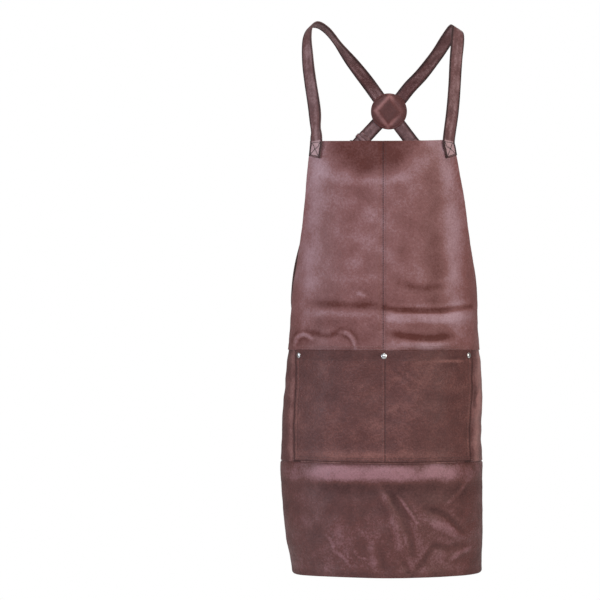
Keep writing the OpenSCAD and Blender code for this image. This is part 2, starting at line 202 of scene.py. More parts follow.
# Each fold: its height (a negative one is a valley), half breadth, and the points it runs through
FOLDS = [
    (-2.8, 4.5, [(2, -567), (40, -571), (110, -572), (172, -564)]),
    (2.6, 8, [(-4, -586), (60, -588), (120, -587), (172, -581)]),
    (-1.6, 7, [(-150, -556), (-90, -560), (-30, -562), (2, -565)]),
    (1.5, 8, [(-150, -577), (-80, -580), (-20, -582)]),
    (-2.2, 6, [(8, -616), (60, -624), (100, -627), (135, -622)]),
    (1.6, 7, [(20, -637), (80, -640), (140, -634)]),
    (2.0, 3.5, [(-178, -640), (-172, -626), (-158, -620), (-142, -627)]),
    (1.8, 3.5, [(-84, -614), (-70, -618), (-60, -630), (-57, -645)]),
    (-1.2, 5, [(-150, -612), (-110, -622), (-88, -610)]),
    (1.0, 4, [(-54, -535), (-44, -541), (-34, -546)]),
    (-1.0, 6, [(30, -520), (80, -528), (130, -520)]),
    (0.8, 9, [(-120, -500), (-60, -510), (0, -505)]),
    (2.6, 11, [(-170, -894), (-60, -892), (60, -892), (165, -896)]),
    (-2.0, 12, [(-170, -925), (-80, -922), (0, -920), (90, -924), (165, -930)]),
    (2.6, 6.5, [(-10, -918), (12, -963), (28, -1034)]),
    (-2.4, 6, [(8, -924), (34, -965), (50, -1010), (58, -1050)]),
    (1.6, 2.6, [(28, -936), (45, -960), (64, -989)]),
    (-2.4, 5, [(82, -961), (122, -975), (157, -1010)]),
    (2.4, 7, [(84, -985), (115, -998), (150, -1020)]),
    (-2.2, 6, [(98, -1033), (125, -1040), (155, -1037)]),
    (1.8, 4, [(134, -1062), (152, -1052), (171, -1044)]),
    (-1.8, 5, [(58, -1090), (78, -1064), (97, -1036)]),
    (1.8, 6, [(-26, -1030), (-20, -1078)]),
    (-1.4, 6, [(-6, -1040), (4, -1088)]),
    (0.6, 3, [(-99, -1046), (-80, -1060), (-70, -1074)]),
    (0.5, 3, [(-62, -1040), (-50, -1056), (-30, -1060)]),
    (0.5, 3, [(-120, -1010), (-104, -1030), (-100, -1050)]),
    (0.9, 12, [(-150, -960), (-110, -1000), (-90, -1060)]),
    (-0.9, 12, [(-120, -950), (-70, -985), (-55, -1030)]),
    (1.2, 4, [(118, -960), (150, -932), (166, -912)]),
    (-1.2, 5, [(36, -1060), (52, -1092)]),
    (-1.2, 4, [(186, -726), (183, -750), (187, -773)]),
    (1.0, 6, [(-60, -930), (-50, -1000)]),
    (0.5, 5, [(1, -679), (28, -705), (60, -740)]),
    (0.4, 4, [(20, -676), (44, -700), (72, -716)]),
    (1.2, 8, [(-160, -856), (-90, -855), (-10, -857), (60, -855), (150, -858)]),
    (0.9, 3, [(108, -672), (130, -671), (154, -673)]),
    (-0.8, 9, [(-150, -700), (-110, -740), (-60, -760)]),
    (0.9, 9, [(-130, -760), (-80, -800), (-40, -830)]),
    (0.9, 10, [(40, -760), (90, -790), (140, -800)]),
    (-0.8, 9, [(60, -730), (110, -745), (160, -740)]),
]


def folds_at(x, z):
    total = np.zeros(np.broadcast(x, z).shape)
    for height, breadth, points in FOLDS:
        run = catmull(points, 5)
        travelled = travelled_along(run)
        lengths = np.diff(travelled)
        nearest = np.full(total.shape, 1e9)
        place = np.zeros(total.shape)
        for k in range(len(run) - 1):
            d = run[k + 1] - run[k]
            t = np.clip(((x - run[k, 0]) * d[0] + (z - run[k, 1]) * d[1]) / (d @ d), 0, 1)
            away = np.hypot(x - run[k, 0] - t * d[0], z - run[k, 1] - t * d[1])
            closer = away < nearest
            nearest = np.where(closer, away, nearest)
            place = np.where(closer, (travelled[k] + t * lengths[k]) / travelled[-1], place)
        taper = 0.35 + 0.65 * smooth(np.minimum(place, 1 - place) * 4)
        total = total + height * taper * bump(nearest, breadth)
    return total


def relief(x, z):
    """How far the hide stands off the worn surface, in millimetres."""
    loose = 0.35 + 0.65 * smooth((-z - 480) / 160)
    hem = smooth((-z - 930) / 160)
    flutes = 3.0 * hem * np.sin(x / 36.0 + 0.8)
    seams = 1 - 0.6 * bump(z - Z_WAIST, 14) - 0.6 * bump(z - Z_SKIRT, 12)
    return (
        folds_at(x, z) * seams
        + 1.5 * loose * BROAD(x, z)
        + 0.45 * loose * MIDDLE(x, z)
        + (0.10 + 0.22 * bump(x + 70, 60) * bump(z + 1050, 40)) * FINE(x, z)
        + flutes)


def skin(a, z, lift):
    """Points on the apron, and the directions that they face."""
    a, z, lift = np.broadcast_arrays(a, z, lift)
    x = radius_x(z) * np.sin(a)
    n = normal_at(a, z)
    rise = lift + relief(x, z)
    y = radius_y(z) * (1 - np.cos(a))
    p = stack(x, y, z) + rise[..., None] * n
    share = np.clip(x / look(WIDTH_AT, z), -1, 1)
    p[..., 0] -= look(SWAY_AT, z) * share ** 2
    p[..., 0] += np.where(x < 0, 4.0, 1.0) * share ** 2 * smooth((-z - 900) / 200)
    return p, n


# ---------------- meshes
def make(name, points, faces, materials, slots=None):
    mesh = bpy.data.meshes.new(name)
    flat = np.asarray(points, float).reshape(-1, 3) * MM
    mesh.from_pydata(flat.tolist(), [], [list(map(int, f)) for f in faces])
    for material in materials:
        mesh.materials.append(material)
    if slots is not None:
        mesh.polygons.foreach_set("material_index", np.asarray(slots, np.int32))
    mesh.polygons.foreach_set("use_smooth", np.full(len(mesh.polygons), True))
    mesh.update()
    obj = bpy.data.objects.new(name, mesh)
    bpy.context.scene.collection.objects.link(obj)
    return obj


def tone(obj, values):
    """Stores how light or dark the hide is at each point, from -1 to 1, painted light and shade included."""
    attribute = obj.data.attributes.new("tone", "FLOAT", "POINT")
    attribute.data.foreach_set("value", np.asarray(values, np.float32).ravel())


def lines(start, end, pitch, fine=(), fine_reach=14.0, fine_pitch=1.4, rim=0.7):
    """Places between two ends, closer together by the fine places and at both rims."""
    low, high = min(start, end), max(start, end)
    places = [low, low + rim]
    while places[-1] < high - rim:
        here = places[-1]
        near = any(abs(here - f) < fine_reach for f in fine) or here < low + 5 or here > high - 5
        places.append(here + (fine_pitch if near else pitch))
    places = places[:-1]
    if high - rim - places[-1] < 0.6 * fine_pitch:
        places = places[:-1]
    places = np.array(places + [high - rim, high])
    return places if start < end else places[::-1]


def shell(outer, inner):
    """Points and faces of a closed sheet from two grids of points. Rim faces come last."""
    rows, columns = outer.shape[:2]
    count = rows * columns
    index = np.arange(count).reshape(rows, columns)
    quads = np.stack([index[:-1, :-1], index[1:, :-1], index[1:, 1:], index[:-1, 1:]], -1).reshape(-1, 4)
    back = quads[:, ::-1] + count
    edge = np.concatenate([index[0, :-1], index[:-1, -1], index[-1, :0:-1], index[:0:-1, 0]])
    following = np.roll(edge, -1)
    rim = np.stack([edge, following, following + count, edge + count], -1)
    points = np.concatenate([outer.reshape(-1, 3), inner.reshape(-1, 3)])
    return points, np.concatenate([quads, back, rim]), len(quads)


def rim_share(rows, columns):
    """1 on the outermost ring of a grid, and 0 elsewhere."""
    share = np.zeros((rows, columns))
    share[0] = 1
    share[-1] = 1
    share[:, 0] = 1
    share[:, -1] = 1
    return share


def hide_tone_and_painted_light(x, z):
    """Painted light and shade on the hide: lighter on raised folds and darker in valleys, partly the hide's
    pull-up and partly painted highlight and shade, with the hide's own patches and painted highlights and
    shade on the bib and skirt.
    """
    e = 5.0
    here = folds_at(x, z)
    around = sum(folds_at(x + dx, z + dz) for dx, dz in ((e, 0), (-e, 0), (0, e), (0, -e))) / 4
    crown = here - around
    strength = 0.55 - 0.17 * smooth((-z - 900) / 30)
    value = strength * np.clip(here * 0.30 + crown * 2.6, -1, 1) + 0.12 * PATCHES(x, z)
    # A darker patch at the top of the bib, with a pale rim
    away = (np.abs(x + 24) / 96) ** 2.6 + (np.abs(z + 242) / 62) ** 2.6
    away = away + 0.05 * MIDDLE(x, z) + 0.05 * PATCHES(x, z)
    fade = 1 - 0.35 * smooth((x - 10) / 50) * smooth((z + 275) / 30)
    value -= 0.82 * smooth((1.42 - away) / 1.30) * fade
    value += 0.28 * bump(away - 1.7, 0.35) * smooth((z + 420) / 80)
    # Painted highlights down both sides of the bib, where the side lamps reflect, and painted shade in the
    # hollows beside the right one
    bib = smooth((z + 640) / 60)
    value += 0.55 * bump(x - 131 + (z + 400) * 0.06, 13) * bib
    value += 0.40 * bump(x + 140 - (z + 400) * 0.10, 13) * bib
    value -= 0.45 * bump(x - 100, 14) * bump(z + 470, 55)
    value -= 0.30 * bump(x - 112, 12) * bump(z + 350, 30)
    # Painted shade in the creases above the pocket, and a painted highlight on the fold between them
    value = value - 0.24 * bump(z + 568, 34) - 0.22 * bump(z + 622, 24) * smooth(-x / 20)
    value += 0.28 * bump(z + 589, 10) * smooth((x + 2) / 12)
    value -= 0.40 * bump(z + 622, 9) * smooth((x - 5) / 25) * smooth((150 - x) / 25)
    # A light band below the waist panel, partly the hide's pull-up and partly painted highlight, and painted
    # shade on the skirt under it, with the skirt darker at the hem too
    band = z + 888 + 5 * np.cos(x / 70) + 3 * BROAD(x, z)
    lit = (0.70 + 0.25 * MIDDLE(x * 0.6, z)) * bump(band, 12 + 3 * smooth(-x / 90))
    value += lit * smooth((168 - np.abs(x)) / 60)
    value -= 0.25 * smooth((-z - 905) / 14) * smooth((z + 1010) / 60)
    value -= 0.30 * smooth((-z - 1080) / 14)
    return np.clip(value, -1, 1)


def pocket_tone_and_painted_light(x, z):
    """Carries the hide's painted light and shade at 0.8; dark at the pocket's cut sides and foot and lighter
    just inside them and above the foot, painted shade down the pressed centre seam with a painted highlight
    beside it, and darker across the turned mouth with a light line under it at the right.
    """
    value = 0.8 * hide_tone_and_painted_light(x, z)
    value -= 1.2 * smooth((np.abs(x) - POCKET_HALF + 2.2) / 1.4)
    value += 0.35 * bump(np.abs(x) - POCKET_HALF + 4.6, 1.3)
    value -= 1.2 * smooth((Z_POCKET + 2.4 - z) / 1.6)
    value += 0.30 * bump(z - Z_POCKET - 14, 8) * smooth((140 - np.abs(x + 20)) / 90)
    # Painted shade along the pressed centre seam, and a painted highlight beside it
    value = value - 0.60 * bump(x - 1.0, 1.0) + 0.45 * bump(x + 1.8, 1.2)
    value -= 0.28 * smooth((z - Z_MOUTH + 16) / 3)
    value += 0.35 * bump(z - Z_MOUTH + 18, 2.2) * bump(x - 130, 30)
    return np.clip(value, -1, 1)


def waist_tone(x, z):
    """Shaded beside the pocket, and lighter at the outer edges."""
    value = hide_tone_and_painted_light(x, z)
    value -= 1.1 * smooth((178.0 - np.abs(x)) / 3) * smooth((np.abs(x) - 160.0) / 3)
    value += 0.45 * bump(x + 183, 3.5) + 0.50 * bump(x - 191, 4)
    value += 0.30 * smooth((x - 179) / 8) - 0.30 * smooth((-x - 179) / 8)
    return np.clip(value, -1, 1)


def skirt_tone(x, z):
    """Shaded where the pocket's foot overhangs the skirt."""
    value = hide_tone_and_painted_light(x, z)
    value -= 1.1 * smooth((z + 874.5) / 2) * smooth((178 - np.abs(x)) / 3)
    return np.clip(value, -1, 1)


SIZES = {}


def panel(name, left, right, rows, fractions, lift, thick, materials, top=None, tone_at=hide_tone_and_painted_light):
    """A closed hide panel. left and right give the angles of its side edges at a height, rows its
    heights, fractions its columns, and lift how far its inner face stands off the surface."""
    z = np.repeat(rows[:, None], len(fractions), 1)
    u = np.repeat(fractions[None, :], len(rows), 0)
    if top is not None:
        z = top(u, z)
    a = left(z) + (right(z) - left(z)) * u
    x = radius_x(z) * np.sin(a)
    share = rim_share(*z.shape)
    base = lift(x, z)
    outer, _ = skin(a, z, base + thick - 0.30 * thick * share)
    inner, _ = skin(a, z, base + 0.22 * thick * share)
    points, faces, front = shell(outer, inner)
    slots = np.zeros(len(faces), int)
    slots[front:2 * front] = 1
    slots[2 * front:] = 2
    obj = make(name, points, faces, materials, slots)
    values = tone_at(x, z).reshape(-1)
    tone(obj, np.concatenate([values, values]))
    wide = np.linalg.norm(np.diff(outer, axis=1), axis=2).sum(1).max() * MM
    long = np.linalg.norm(np.diff(outer, axis=0), axis=2).sum(0).max() * MM
    SIZES[name] = (wide, long, sum(p.area for p in obj.data.polygons if p.material_index == 0))
    return obj


def frames(route, faces, closed=False):
    """Directions along, across and out of a strap at every point of its route."""
    if closed:
        along = unit(np.roll(route, -1, 0) - np.roll(route, 1, 0))
    else:
        along = unit(np.gradient(route, axis=0))
    across = unit(np.cross(along, faces))
    out = np.cross(across, along)
    return along, across, out


def ring_quads(rings, count, closed):
    """Faces between rings of points, and the number of bands that they make."""
    index = np.arange(rings * count).reshape(rings, count)
    if closed:
        index = np.concatenate([index, index[:1]])
    following = np.roll(index, -1, 1)
    quads = np.stack([index[:-1], following[:-1], following[1:], index[1:]], -1).reshape(-1, 4).tolist()
    if not closed:
        quads.append(index[0][::-1].tolist())
        quads.append(index[-1].tolist())
    return quads, len(index) - 1


# Where a strap's edge darkens, as a share of its half width, and where its boxed end stops
EDGE_SHADE = 0.72
BOX_END = 33.0


def sweep(name, route, faces, profile, materials, closed=False, widths=None, boxed=False):
    """A strap: a closed profile of (sideways, outwards, slot) points swept along a route."""
    _, across, out = frames(route, faces, closed)
    side = np.array([p[0] for p in profile])
    rise = np.array([p[1] for p in profile])
    wide = np.ones(len(route)) if widths is None else widths
    points = (
        route[:, None]
        + across[:, None] * (side[None, :, None] * wide[:, None, None])
        + out[:, None] * rise[None, :, None])
    rings, count = points.shape[:2]
    quads, bands = ring_quads(rings, count, closed)
    slots = np.tile([p[2] for p in profile], bands).tolist()
    slots += [1] * (len(quads) - len(slots))
    obj = make(name, points, quads, materials, slots)
    share = np.abs(side) / np.abs(side).max()
    shade = np.tile(0.08 - smooth((share - EDGE_SHADE) / 0.2), (rings, 1))
    travelled = travelled_along(route)
    if boxed:
        # Pressed pale inside the boxed stitching, with a dark line at the strap's end
        sewn = smooth((BOX_END - travelled) / 2.0)[:, None] * smooth((0.80 - share) / 0.12)[None, :]
        shade = shade + sewn - 1.6 * smooth((3.2 - travelled) / 1.4)[:, None]
    SIZES[name] = (2 * np.abs(side).max() * MM, travelled[-1] * MM, None)
    shade = shade + 0.22 * MIDDLE(travelled[:, None], 3.0 * side[None, :])
    tone(obj, np.clip(shade, -1, 1))
    return obj


# Places across a strap, as shares of its half width
GROOVE_AT = 0.82
ROUND_FROM = 0.985


def strap_profile(half, low, high, crown=0.35, groove=0.25):
    """Cross-section of a strap: crowned and stitched near both edges, with rounded sides."""
    thick = high - low
    top = []
    shares = (0.0, 0.2, 0.45, 0.68, 0.78, GROOVE_AT, 0.86, 0.93, ROUND_FROM, 1.0)
    for s in [-share for share in shares[:0:-1]] + list(shares):
        edge = max(0.0, (abs(s) - ROUND_FROM) / (1 - ROUND_FROM))
        h = high + crown * (1 - s * s) - groove * math.exp(-0.5 * ((abs(s) - GROOVE_AT) / 0.03) ** 2)
        slot = 2 if abs(s) == 1 else 0
        top.append((s * half, h - 0.28 * thick * edge - 0.06 * thick * (abs(s) > 0.9), slot))
    bottom = [(s * half, low, 1) for s in (ROUND_FROM, 0.5, 0.0, -0.5, -ROUND_FROM)]
    side = low + 0.25 * thick
    bottom = [(half, side, 2), *bottom, (-half, side, 2)]
    return top[::-1] + bottom[::-1]


def spindle_faces(rings, sides):
    """Faces of a closed shape made of a point, some rings of points and a last point."""
    faces = [[i + 1 for i in quad] for quad in ring_quads(rings, sides, False)[0][:-2]]
    last = rings * sides + 1
    for k in range(sides):
        n = (k + 1) % sides
        faces += [[0, 1 + n, 1 + k], [last - sides + k, last - sides + n, last]]
    return faces


def lathe(profile, centre, axis, segments=48):
    """Points and faces of a turned shape, from (radius, height) pairs that start and end on the axis."""
    axis = unit(np.asarray(axis, float))
    helper = np.array([0.0, 0.0, 1.0]) if abs(axis[2]) < 0.9 else np.array([1.0, 0.0, 0.0])
    u = unit(np.cross(axis, helper))
    v = np.cross(axis, u)
    turn = np.linspace(0, 2 * math.pi, segments, endpoint=False)
    rings = []
    for r, h in profile[1:-1]:
        rings.append(centre + r * circles(u, v, turn) + h * axis)
    points = np.concatenate([[centre + profile[0][1] * axis], *rings, [centre + profile[-1][1] * axis]])
    return points, spindle_faces(len(rings), segments)


def merge(parts):
    """Several (points, faces) as one."""
    points = []
    faces = []
    start = 0
    for p, f in parts:
        points.append(np.asarray(p))
        faces += [[i + start for i in face] for face in f]
        start += len(p)
    return np.concatenate(points), faces


# ---------------- stitches
def resample(path, pitch):
    """Even places along a path: their distances, those of the path's own points, the places and the
    directions there."""
    at = travelled_along(path)
    count = max(1, int(round(at[-1] / pitch)))
    middles = (np.arange(count) + 0.5) * at[-1] / count
    e = 0.4
    ahead = read_at(np.minimum(middles + e, at[-1]), at, path)
    behind = read_at(np.maximum(middles - e, 0), at, path)
    return middles, at, read_at(middles, at, path), unit(ahead - behind)


# A stitch's rings: place along it, size, and height above the hide
THREAD_RINGS = [
    (-0.5, 0.0, -0.55), (-0.36, 0.75, -0.1), (0.0, 1.0, 0.35), (0.36, 0.75, -0.1), (0.5, 0.0, -0.55)]


def stitch_row(path, outs, pitch=3.3, length=2.7, thick=0.42, slant=0.12):
    """Points and faces of a row of stitches, each a small spindle that dips into the hide at its ends."""
    middles, at, spots, along = resample(path, pitch)
    n = unit(read_at(middles, at, outs))
    across = unit(np.cross(along, n))
    along = unit(along + slant * across)
    across = unit(np.cross(along, n))
    sides = 6
    turn = np.arange(sides) * 2 * math.pi / sides
    rings = []
    for place, size, dip in THREAD_RINGS:
        middle = spots + along * place * length + n * dip * thick
        rings.append(middle[:, None] + (circles(across, n, turn) * thick * size if size else 0))
    points = np.concatenate(rings, axis=1)
    each = points.shape[1]
    pattern = [face[::-1] for face in spindle_faces(len(rings) - 2, sides)]
    faces = [[i * each + j for j in face] for i in range(len(points)) for face in pattern]
    return points.reshape(-1, 3), faces


# ---------------- materials
def srgb(r, g, b):
    """A colour given in 0 to 255 as seen on a screen, in the renderer's own linear values."""
    def one(v):
        c = v / 255
        return c / 12.92 if c <= 0.04045 else ((c + 0.055) / 1.055) ** 2.4
    return (one(r), one(g), one(b), 1.0)


class Nodes:
    """A short way to build a material's nodes."""

    def __init__(self, name):
        self.material = bpy.data.materials.new(name)
        self.material.use_nodes = True
        self.tree = self.material.node_tree
        self.tree.nodes.clear()
        self.shader = self.add("ShaderNodeBsdfPrincipled")
        self.out = self.add("ShaderNodeOutputMaterial")
        self.link(self.shader.outputs["BSDF"], self.out.inputs["Surface"])
        self.place = self.add("ShaderNodeTexCoord").outputs["Object"]

    def add(self, kind, **settings):
        node = self.tree.nodes.new(kind)
        for key, value in settings.items():
            setattr(node, key, value)
        return node

    def link(self, a, b):
        self.tree.links.new(a, b)

    def put(self, socket, value):
        if isinstance(value, bpy.types.NodeSocket):
            self.link(value, socket)
        else:
            socket.default_value = value

    def fill(self, node, values):
        """Puts a value or a link in each named socket of a node."""
        for key, value in values.items():
            self.put(node.inputs[key], value)
        return node

    def shade(self, **values):
        """Fills the shader's own sockets. An underscore stands for a space."""
        self.fill(self.shader, {key.replace("_", " "): value for key, value in values.items()})

    def noise(self, scale, detail=3.0, rough=0.55):
        node = self.add("ShaderNodeTexNoise")
        return self.fill(node, {"Vector": self.place, "Scale": scale, "Detail": detail, "Roughness": rough})

    def voronoi(self, scale, feature, place):
        node = self.add("ShaderNodeTexVoronoi", feature=feature)
        return self.fill(node, {"Vector": place, "Scale": scale}).outputs["Distance"]

    def math(self, operation, a, b):
        return self.fill(self.add("ShaderNodeMath", operation=operation), {0: a, 1: b}).outputs[0]

    def remap(self, value, a, b, c, d):
        """The value, with a to b stretched to c to d and held at those ends."""
        node = self.add("ShaderNodeMapRange")
        self.fill(node, {"Value": value, "From Min": a, "From Max": b, "To Min": c, "To Max": d})
        return node.outputs["Result"]

    def mix(self, share, a, b):
        """Two colours mixed. Sockets 6, 7 and 2 are the colour ones of the node."""
        node = self.add("ShaderNodeMix", data_type="RGBA", blend_type="MIX")
        return self.fill(node, {"Factor": share, 6: a, 7: b}).outputs[2]

    def bump(self, height, strength, distance, normal=None):
        node = self.add("ShaderNodeBump")
        self.fill(node, {"Strength": strength, "Distance": distance, "Height": height})
        if normal is not None:
            self.link(normal, node.inputs["Normal"])
        return node.outputs["Normal"]

    def warped(self, scale, amount):
        """The place moved a little by noise, so that cells don't look regular."""
        noise = self.noise(scale, 2.0).outputs["Color"]
        shift = self.fill(self.add("ShaderNodeVectorMath", operation="SCALE"), {0: noise, "Scale": amount})
        total = self.add("ShaderNodeVectorMath", operation="ADD")
        return self.fill(total, {0: self.place, 1: shift.outputs[0]}).outputs[0]


def leather(name, dark, middle, light, cell, pebble, gloss, mottle, coat=0.06):
    """Waxed pull-up hide: mottled and pebbled, and lighter or darker by the tone attribute, which holds the
    hide's pull-up where it is bent outwards along with painted highlights and shade.
    """
    n = Nodes(name)
    dark, middle, light = srgb(*dark), srgb(*middle), srgb(*light)
    cloudy = n.noise(7.0, 4.0).outputs["Fac"]
    smudge = n.noise(38.0, 5.0, 0.6).outputs["Fac"]
    speck = n.noise(230.0, 4.0, 0.7).outputs["Fac"]
    attribute = n.add("ShaderNodeAttribute", attribute_type="GEOMETRY", attribute_name="tone")
    value = n.math("MULTIPLY", attribute.outputs["Fac"], 0.62)
    for noise, strength in ((cloudy, 0.16), (smudge, 0.30), (speck, 0.42)):
        value = n.math("ADD", value, n.remap(noise, 0.25, 0.75, -strength * mottle, strength * mottle))
    # The tone mixes towards the dark colour where it is low and towards the light one where it is high, which
    # is how the painted shade and highlights reach the hide
    low = n.remap(value, -0.55, 0.0, 1.0, 0.0)
    high = n.remap(value, 0.0, 0.6, 0.0, 1.0)
    colour = n.mix(low, middle, dark)
    colour = n.mix(high, colour, light)
    warped = n.warped(260.0, 0.0006)
    cells = n.voronoi(cell, "F1", warped)
    pits = n.voronoi(cell * 0.55, "SMOOTH_F1", warped)
    creases = n.remap(cells, 0.25, 0.75, 0.0, 1.0)
    colour = n.mix(n.math("MULTIPLY", creases, 0.30 * pebble), colour, dark)
    rough = n.remap(n.math("ADD", smudge, n.math("MULTIPLY", speck, 0.5)), 0.45, 1.05, *gloss)
    rough = n.math("ADD", rough, n.math("MULTIPLY", low, 0.34))
    hollows = n.math("ADD", cells, n.math("MULTIPLY", pits, 0.7))
    height = n.math("SUBTRACT", n.remap(speck, 0.2, 0.8, 0.0, 0.45), hollows)
    fine = n.bump(height, 0.85 * pebble, 0.0011)
    wrinkle = n.noise(120.0, 4.0, 0.62).outputs["Fac"]
    n.shade(
        Base_Color=colour, Roughness=rough, Specular_IOR_Level=0.32, Coat_Weight=coat, Coat_Roughness=0.38,
        Normal=n.bump(wrinkle, 0.30, 0.0016, fine))
    return n.material


def flesh_side(name, dark, light):
    """The rough inner side of the hide: matt, fibrous and napped."""
    n = Nodes(name)
    cloudy = n.noise(22.0, 5.0, 0.65).outputs["Fac"]
    fibre = n.noise(900.0, 4.0, 0.7).outputs["Fac"]
    share = n.math("ADD", n.remap(cloudy, 0.3, 0.7, 0.0, 0.6), n.remap(fibre, 0.3, 0.7, 0.0, 0.4))
    n.shade(
        Base_Color=n.mix(share, srgb(*dark), srgb(*light)), Roughness=0.92, Specular_IOR_Level=0.2,
        Sheen_Weight=0.25, Sheen_Roughness=0.5, Normal=n.bump(n.math("ADD", fibre, cloudy), 0.55, 0.0007))
    return n.material


def cut_edge(name, dark, light):
    """A cut and burnished edge, with the layers of the hide showing faintly."""
    n = Nodes(name)
    grain = n.noise(500.0, 4.0, 0.6).outputs["Fac"]
    colour = n.mix(n.remap(grain, 0.3, 0.7, 0.0, 1.0), srgb(*dark), srgb(*light))
    rough = n.remap(grain, 0.3, 0.7, 0.45, 0.75)
    n.shade(Base_Color=colour, Roughness=rough, Normal=n.bump(grain, 0.4, 0.0004))
    return n.material


def thread(name, dark, light):
    """Waxed twisted thread."""
    n = Nodes(name)
    twist = n.add("ShaderNodeTexWave", wave_type="BANDS", bands_direction="DIAGONAL")
    n.fill(twist, {"Vector": n.place, "Scale": 420.0, "Distortion": 2.0})
    soil = n.noise(60.0).outputs["Fac"]
    share = n.math("MULTIPLY", twist.outputs["Fac"], n.remap(soil, 0.3, 0.7, 0.5, 1.0))
    colour = n.mix(share, srgb(*dark), srgb(*light))
    n.shade(Base_Color=colour, Roughness=0.6, Normal=n.bump(twist.outputs["Fac"], 0.5, 0.0003))
    return n.material


def metal(name, dark, light, rough, scratch):
    """Plated metal with handling marks. Its greys are the renderer's own linear values."""
    n = Nodes(name)
    soil = n.noise(90.0, 4.0, 0.6).outputs["Fac"]
    fine = n.noise(1500.0, 3.0, 0.6).outputs["Fac"]
    share = n.remap(n.math("ADD", soil, n.math("MULTIPLY", fine, 0.3)), 0.4, 0.9, 0.0, 1.0)
    n.shade(
        Base_Color=n.mix(share, (*dark, 1), (*light, 1)), Metallic=1.0,
        Roughness=n.remap(soil, 0.3, 0.7, *rough), Normal=n.bump(fine, scratch, 0.0002))
    return n.material


# For each hide: its dark, middle and light tones, pebbles per metre, how deep they are, gloss and mottle. The
# light tone is also the colour of the painted highlights.
BIB = leather("bib_hide", (76, 28, 19), (117, 72, 69), (160, 126, 130), 430.0, 0.55, (0.36, 0.50), 0.45)
# The waist, skirt and pocket hides are darker copies of the bib's, painted shade for the less lit lower apron
WAIST = leather("waist_hide", (60, 26, 22), (92, 50, 46), (146, 100, 94), 430.0, 0.55, (0.34, 0.50), 0.6)
SKIRT = leather("skirt_hide", (58, 24, 20), (88, 46, 41), (142, 98, 102), 400.0, 0.6, (0.34, 0.48), 0.6)
POCKET = leather("pocket_hide", (60, 26, 22), (86, 44, 39), (128, 80, 72), 330.0, 0.9, (0.38, 0.54), 0.65)
STRAP = leather("strap_hide", (44, 20, 17), (92, 56, 54), (162, 128, 127), 700.0, 0.35, (0.36, 0.52), 0.45)
DISC = leather("disc_hide", (52, 18, 14), (84, 36, 30), (150, 100, 96), 700.0, 0.12, (0.46, 0.58), 0.30, 0.08)
FLESH = flesh_side("flesh_side", (52, 33, 29), (88, 60, 52))
# The strap backing is a darker copy of the flesh side, painted shade between a strap and its lining
SHADED_BACKING = flesh_side("strap_backing_painted_shade", (38, 24, 21), (62, 42, 37))
EDGE = cut_edge("cut_edge", (66, 40, 37), (104, 70, 65))
THREAD = thread("waxed_thread", (92, 60, 56), (178, 140, 130))
DARK_THREAD = thread("dark_thread", (30, 18, 17), (64, 42, 39))
NICKEL = metal("nickel", (0.22, 0.21, 0.2), (0.66, 0.64, 0.62), (0.14, 0.3), 0.15)
GUNMETAL = metal("gunmetal", (0.05, 0.048, 0.046), (0.2, 0.19, 0.18), (0.26, 0.46), 0.25)
SIDES = ((-1, "left"), (1, "right"))

# ---------------- body panels
def keep(obj, body, slot, *nodes):
    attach(obj, body)
    if nodes:
        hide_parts(*nodes)


def left_edge(z):
    return -wrap(z)


def at_x(x):
    return lambda z: angle_at(x, z)


def bib_top(u, z, left, right):
    """Raises the bib's top edge a little towards its corners."""
    x = left + (right - left) * u
    up = 1.6 + np.where(x < 0, 2.6, 5.4) * np.abs(x / 146.0) ** 2.2
    share = np.clip((z - Z_WAIST) / (Z_BIB - Z_WAIST), 0, 1)
    return z + up * share ** 6


def columns(width, fine=()):
    return lines(0.0, width, 3.2, fine) / width


# The bib halves lap at the centre, the left one under the right
BIB_W = 235.0
BIB_CORNER = 146
bib_rows = lines(Z_BIB, Z_WAIST, 3.0, fine=(Z_WAIST + 4,), fine_reach=10)
left_bib = panel(
    "bib_left", left_edge, at_x(SEAM_LAP / 2), bib_rows, columns(BIB_W, (BIB_W - 6,)),
    lambda x, z: -HIDE - STEP * np.where(x > 0, 1, smooth((13 - np.abs(x)) / 9)), HIDE, [BIB, FLESH, EDGE],
    lambda u, z: bib_top(u, z, -BIB_CORNER, 6))
right_bib = panel(
    "bib_right", at_x(SEAM_EDGE), wrap, bib_rows, columns(BIB_W, (6,)),
    lambda x, z: -HIDE + 0.3 * bump(x - 4, 4) - 0.25 * bump(x - SEAM_EDGE, 1.5), HIDE, [BIB, FLESH, EDGE],
    lambda u, z: bib_top(u, z, -6, BIB_CORNER))
keep(left_bib, "apron", "bib", "bib_panel_left")
keep(right_bib, "apron", "bib", "bib_panel_right")


def waist_lift(x, z):
    """The waist panel goes under the bib, and under both halves at the lap seam."""
    tucked = smooth((z - Z_WAIST + 26) / 24)
    doubled = smooth((19 - np.abs(x)) / 8) * smooth((z - Z_WAIST + 6) / 6)
    return -HIDE - STEP * tucked * (1 + doubled)


waist_rows = lines(Z_WAIST + SEAM_LAP, Z_SKIRT, 3.2, fine=(Z_WAIST,), fine_reach=12)
waist = panel(
    "waist", left_edge, wrap, waist_rows, columns(560.0), waist_lift, HIDE, [WAIST, FLESH, EDGE],
    tone_at=waist_tone)
keep(waist, "apron", "waist", "waist_panel")


def hem_drop(u, z):
    """Lets the hem hang a little lower towards its sides, most at the left, and curls its corners up."""
    share = 2 * u - 1
    drop = np.where(share < 0, 10.0, 4.0) * np.abs(share) ** 3
    drop = drop - np.where(share < 0, 9.0, 6.0) * np.abs(share) ** 9
    return z - drop * np.clip((Z_SKIRT - z) / (Z_SKIRT - Z_HEM), 0, 1) ** 3


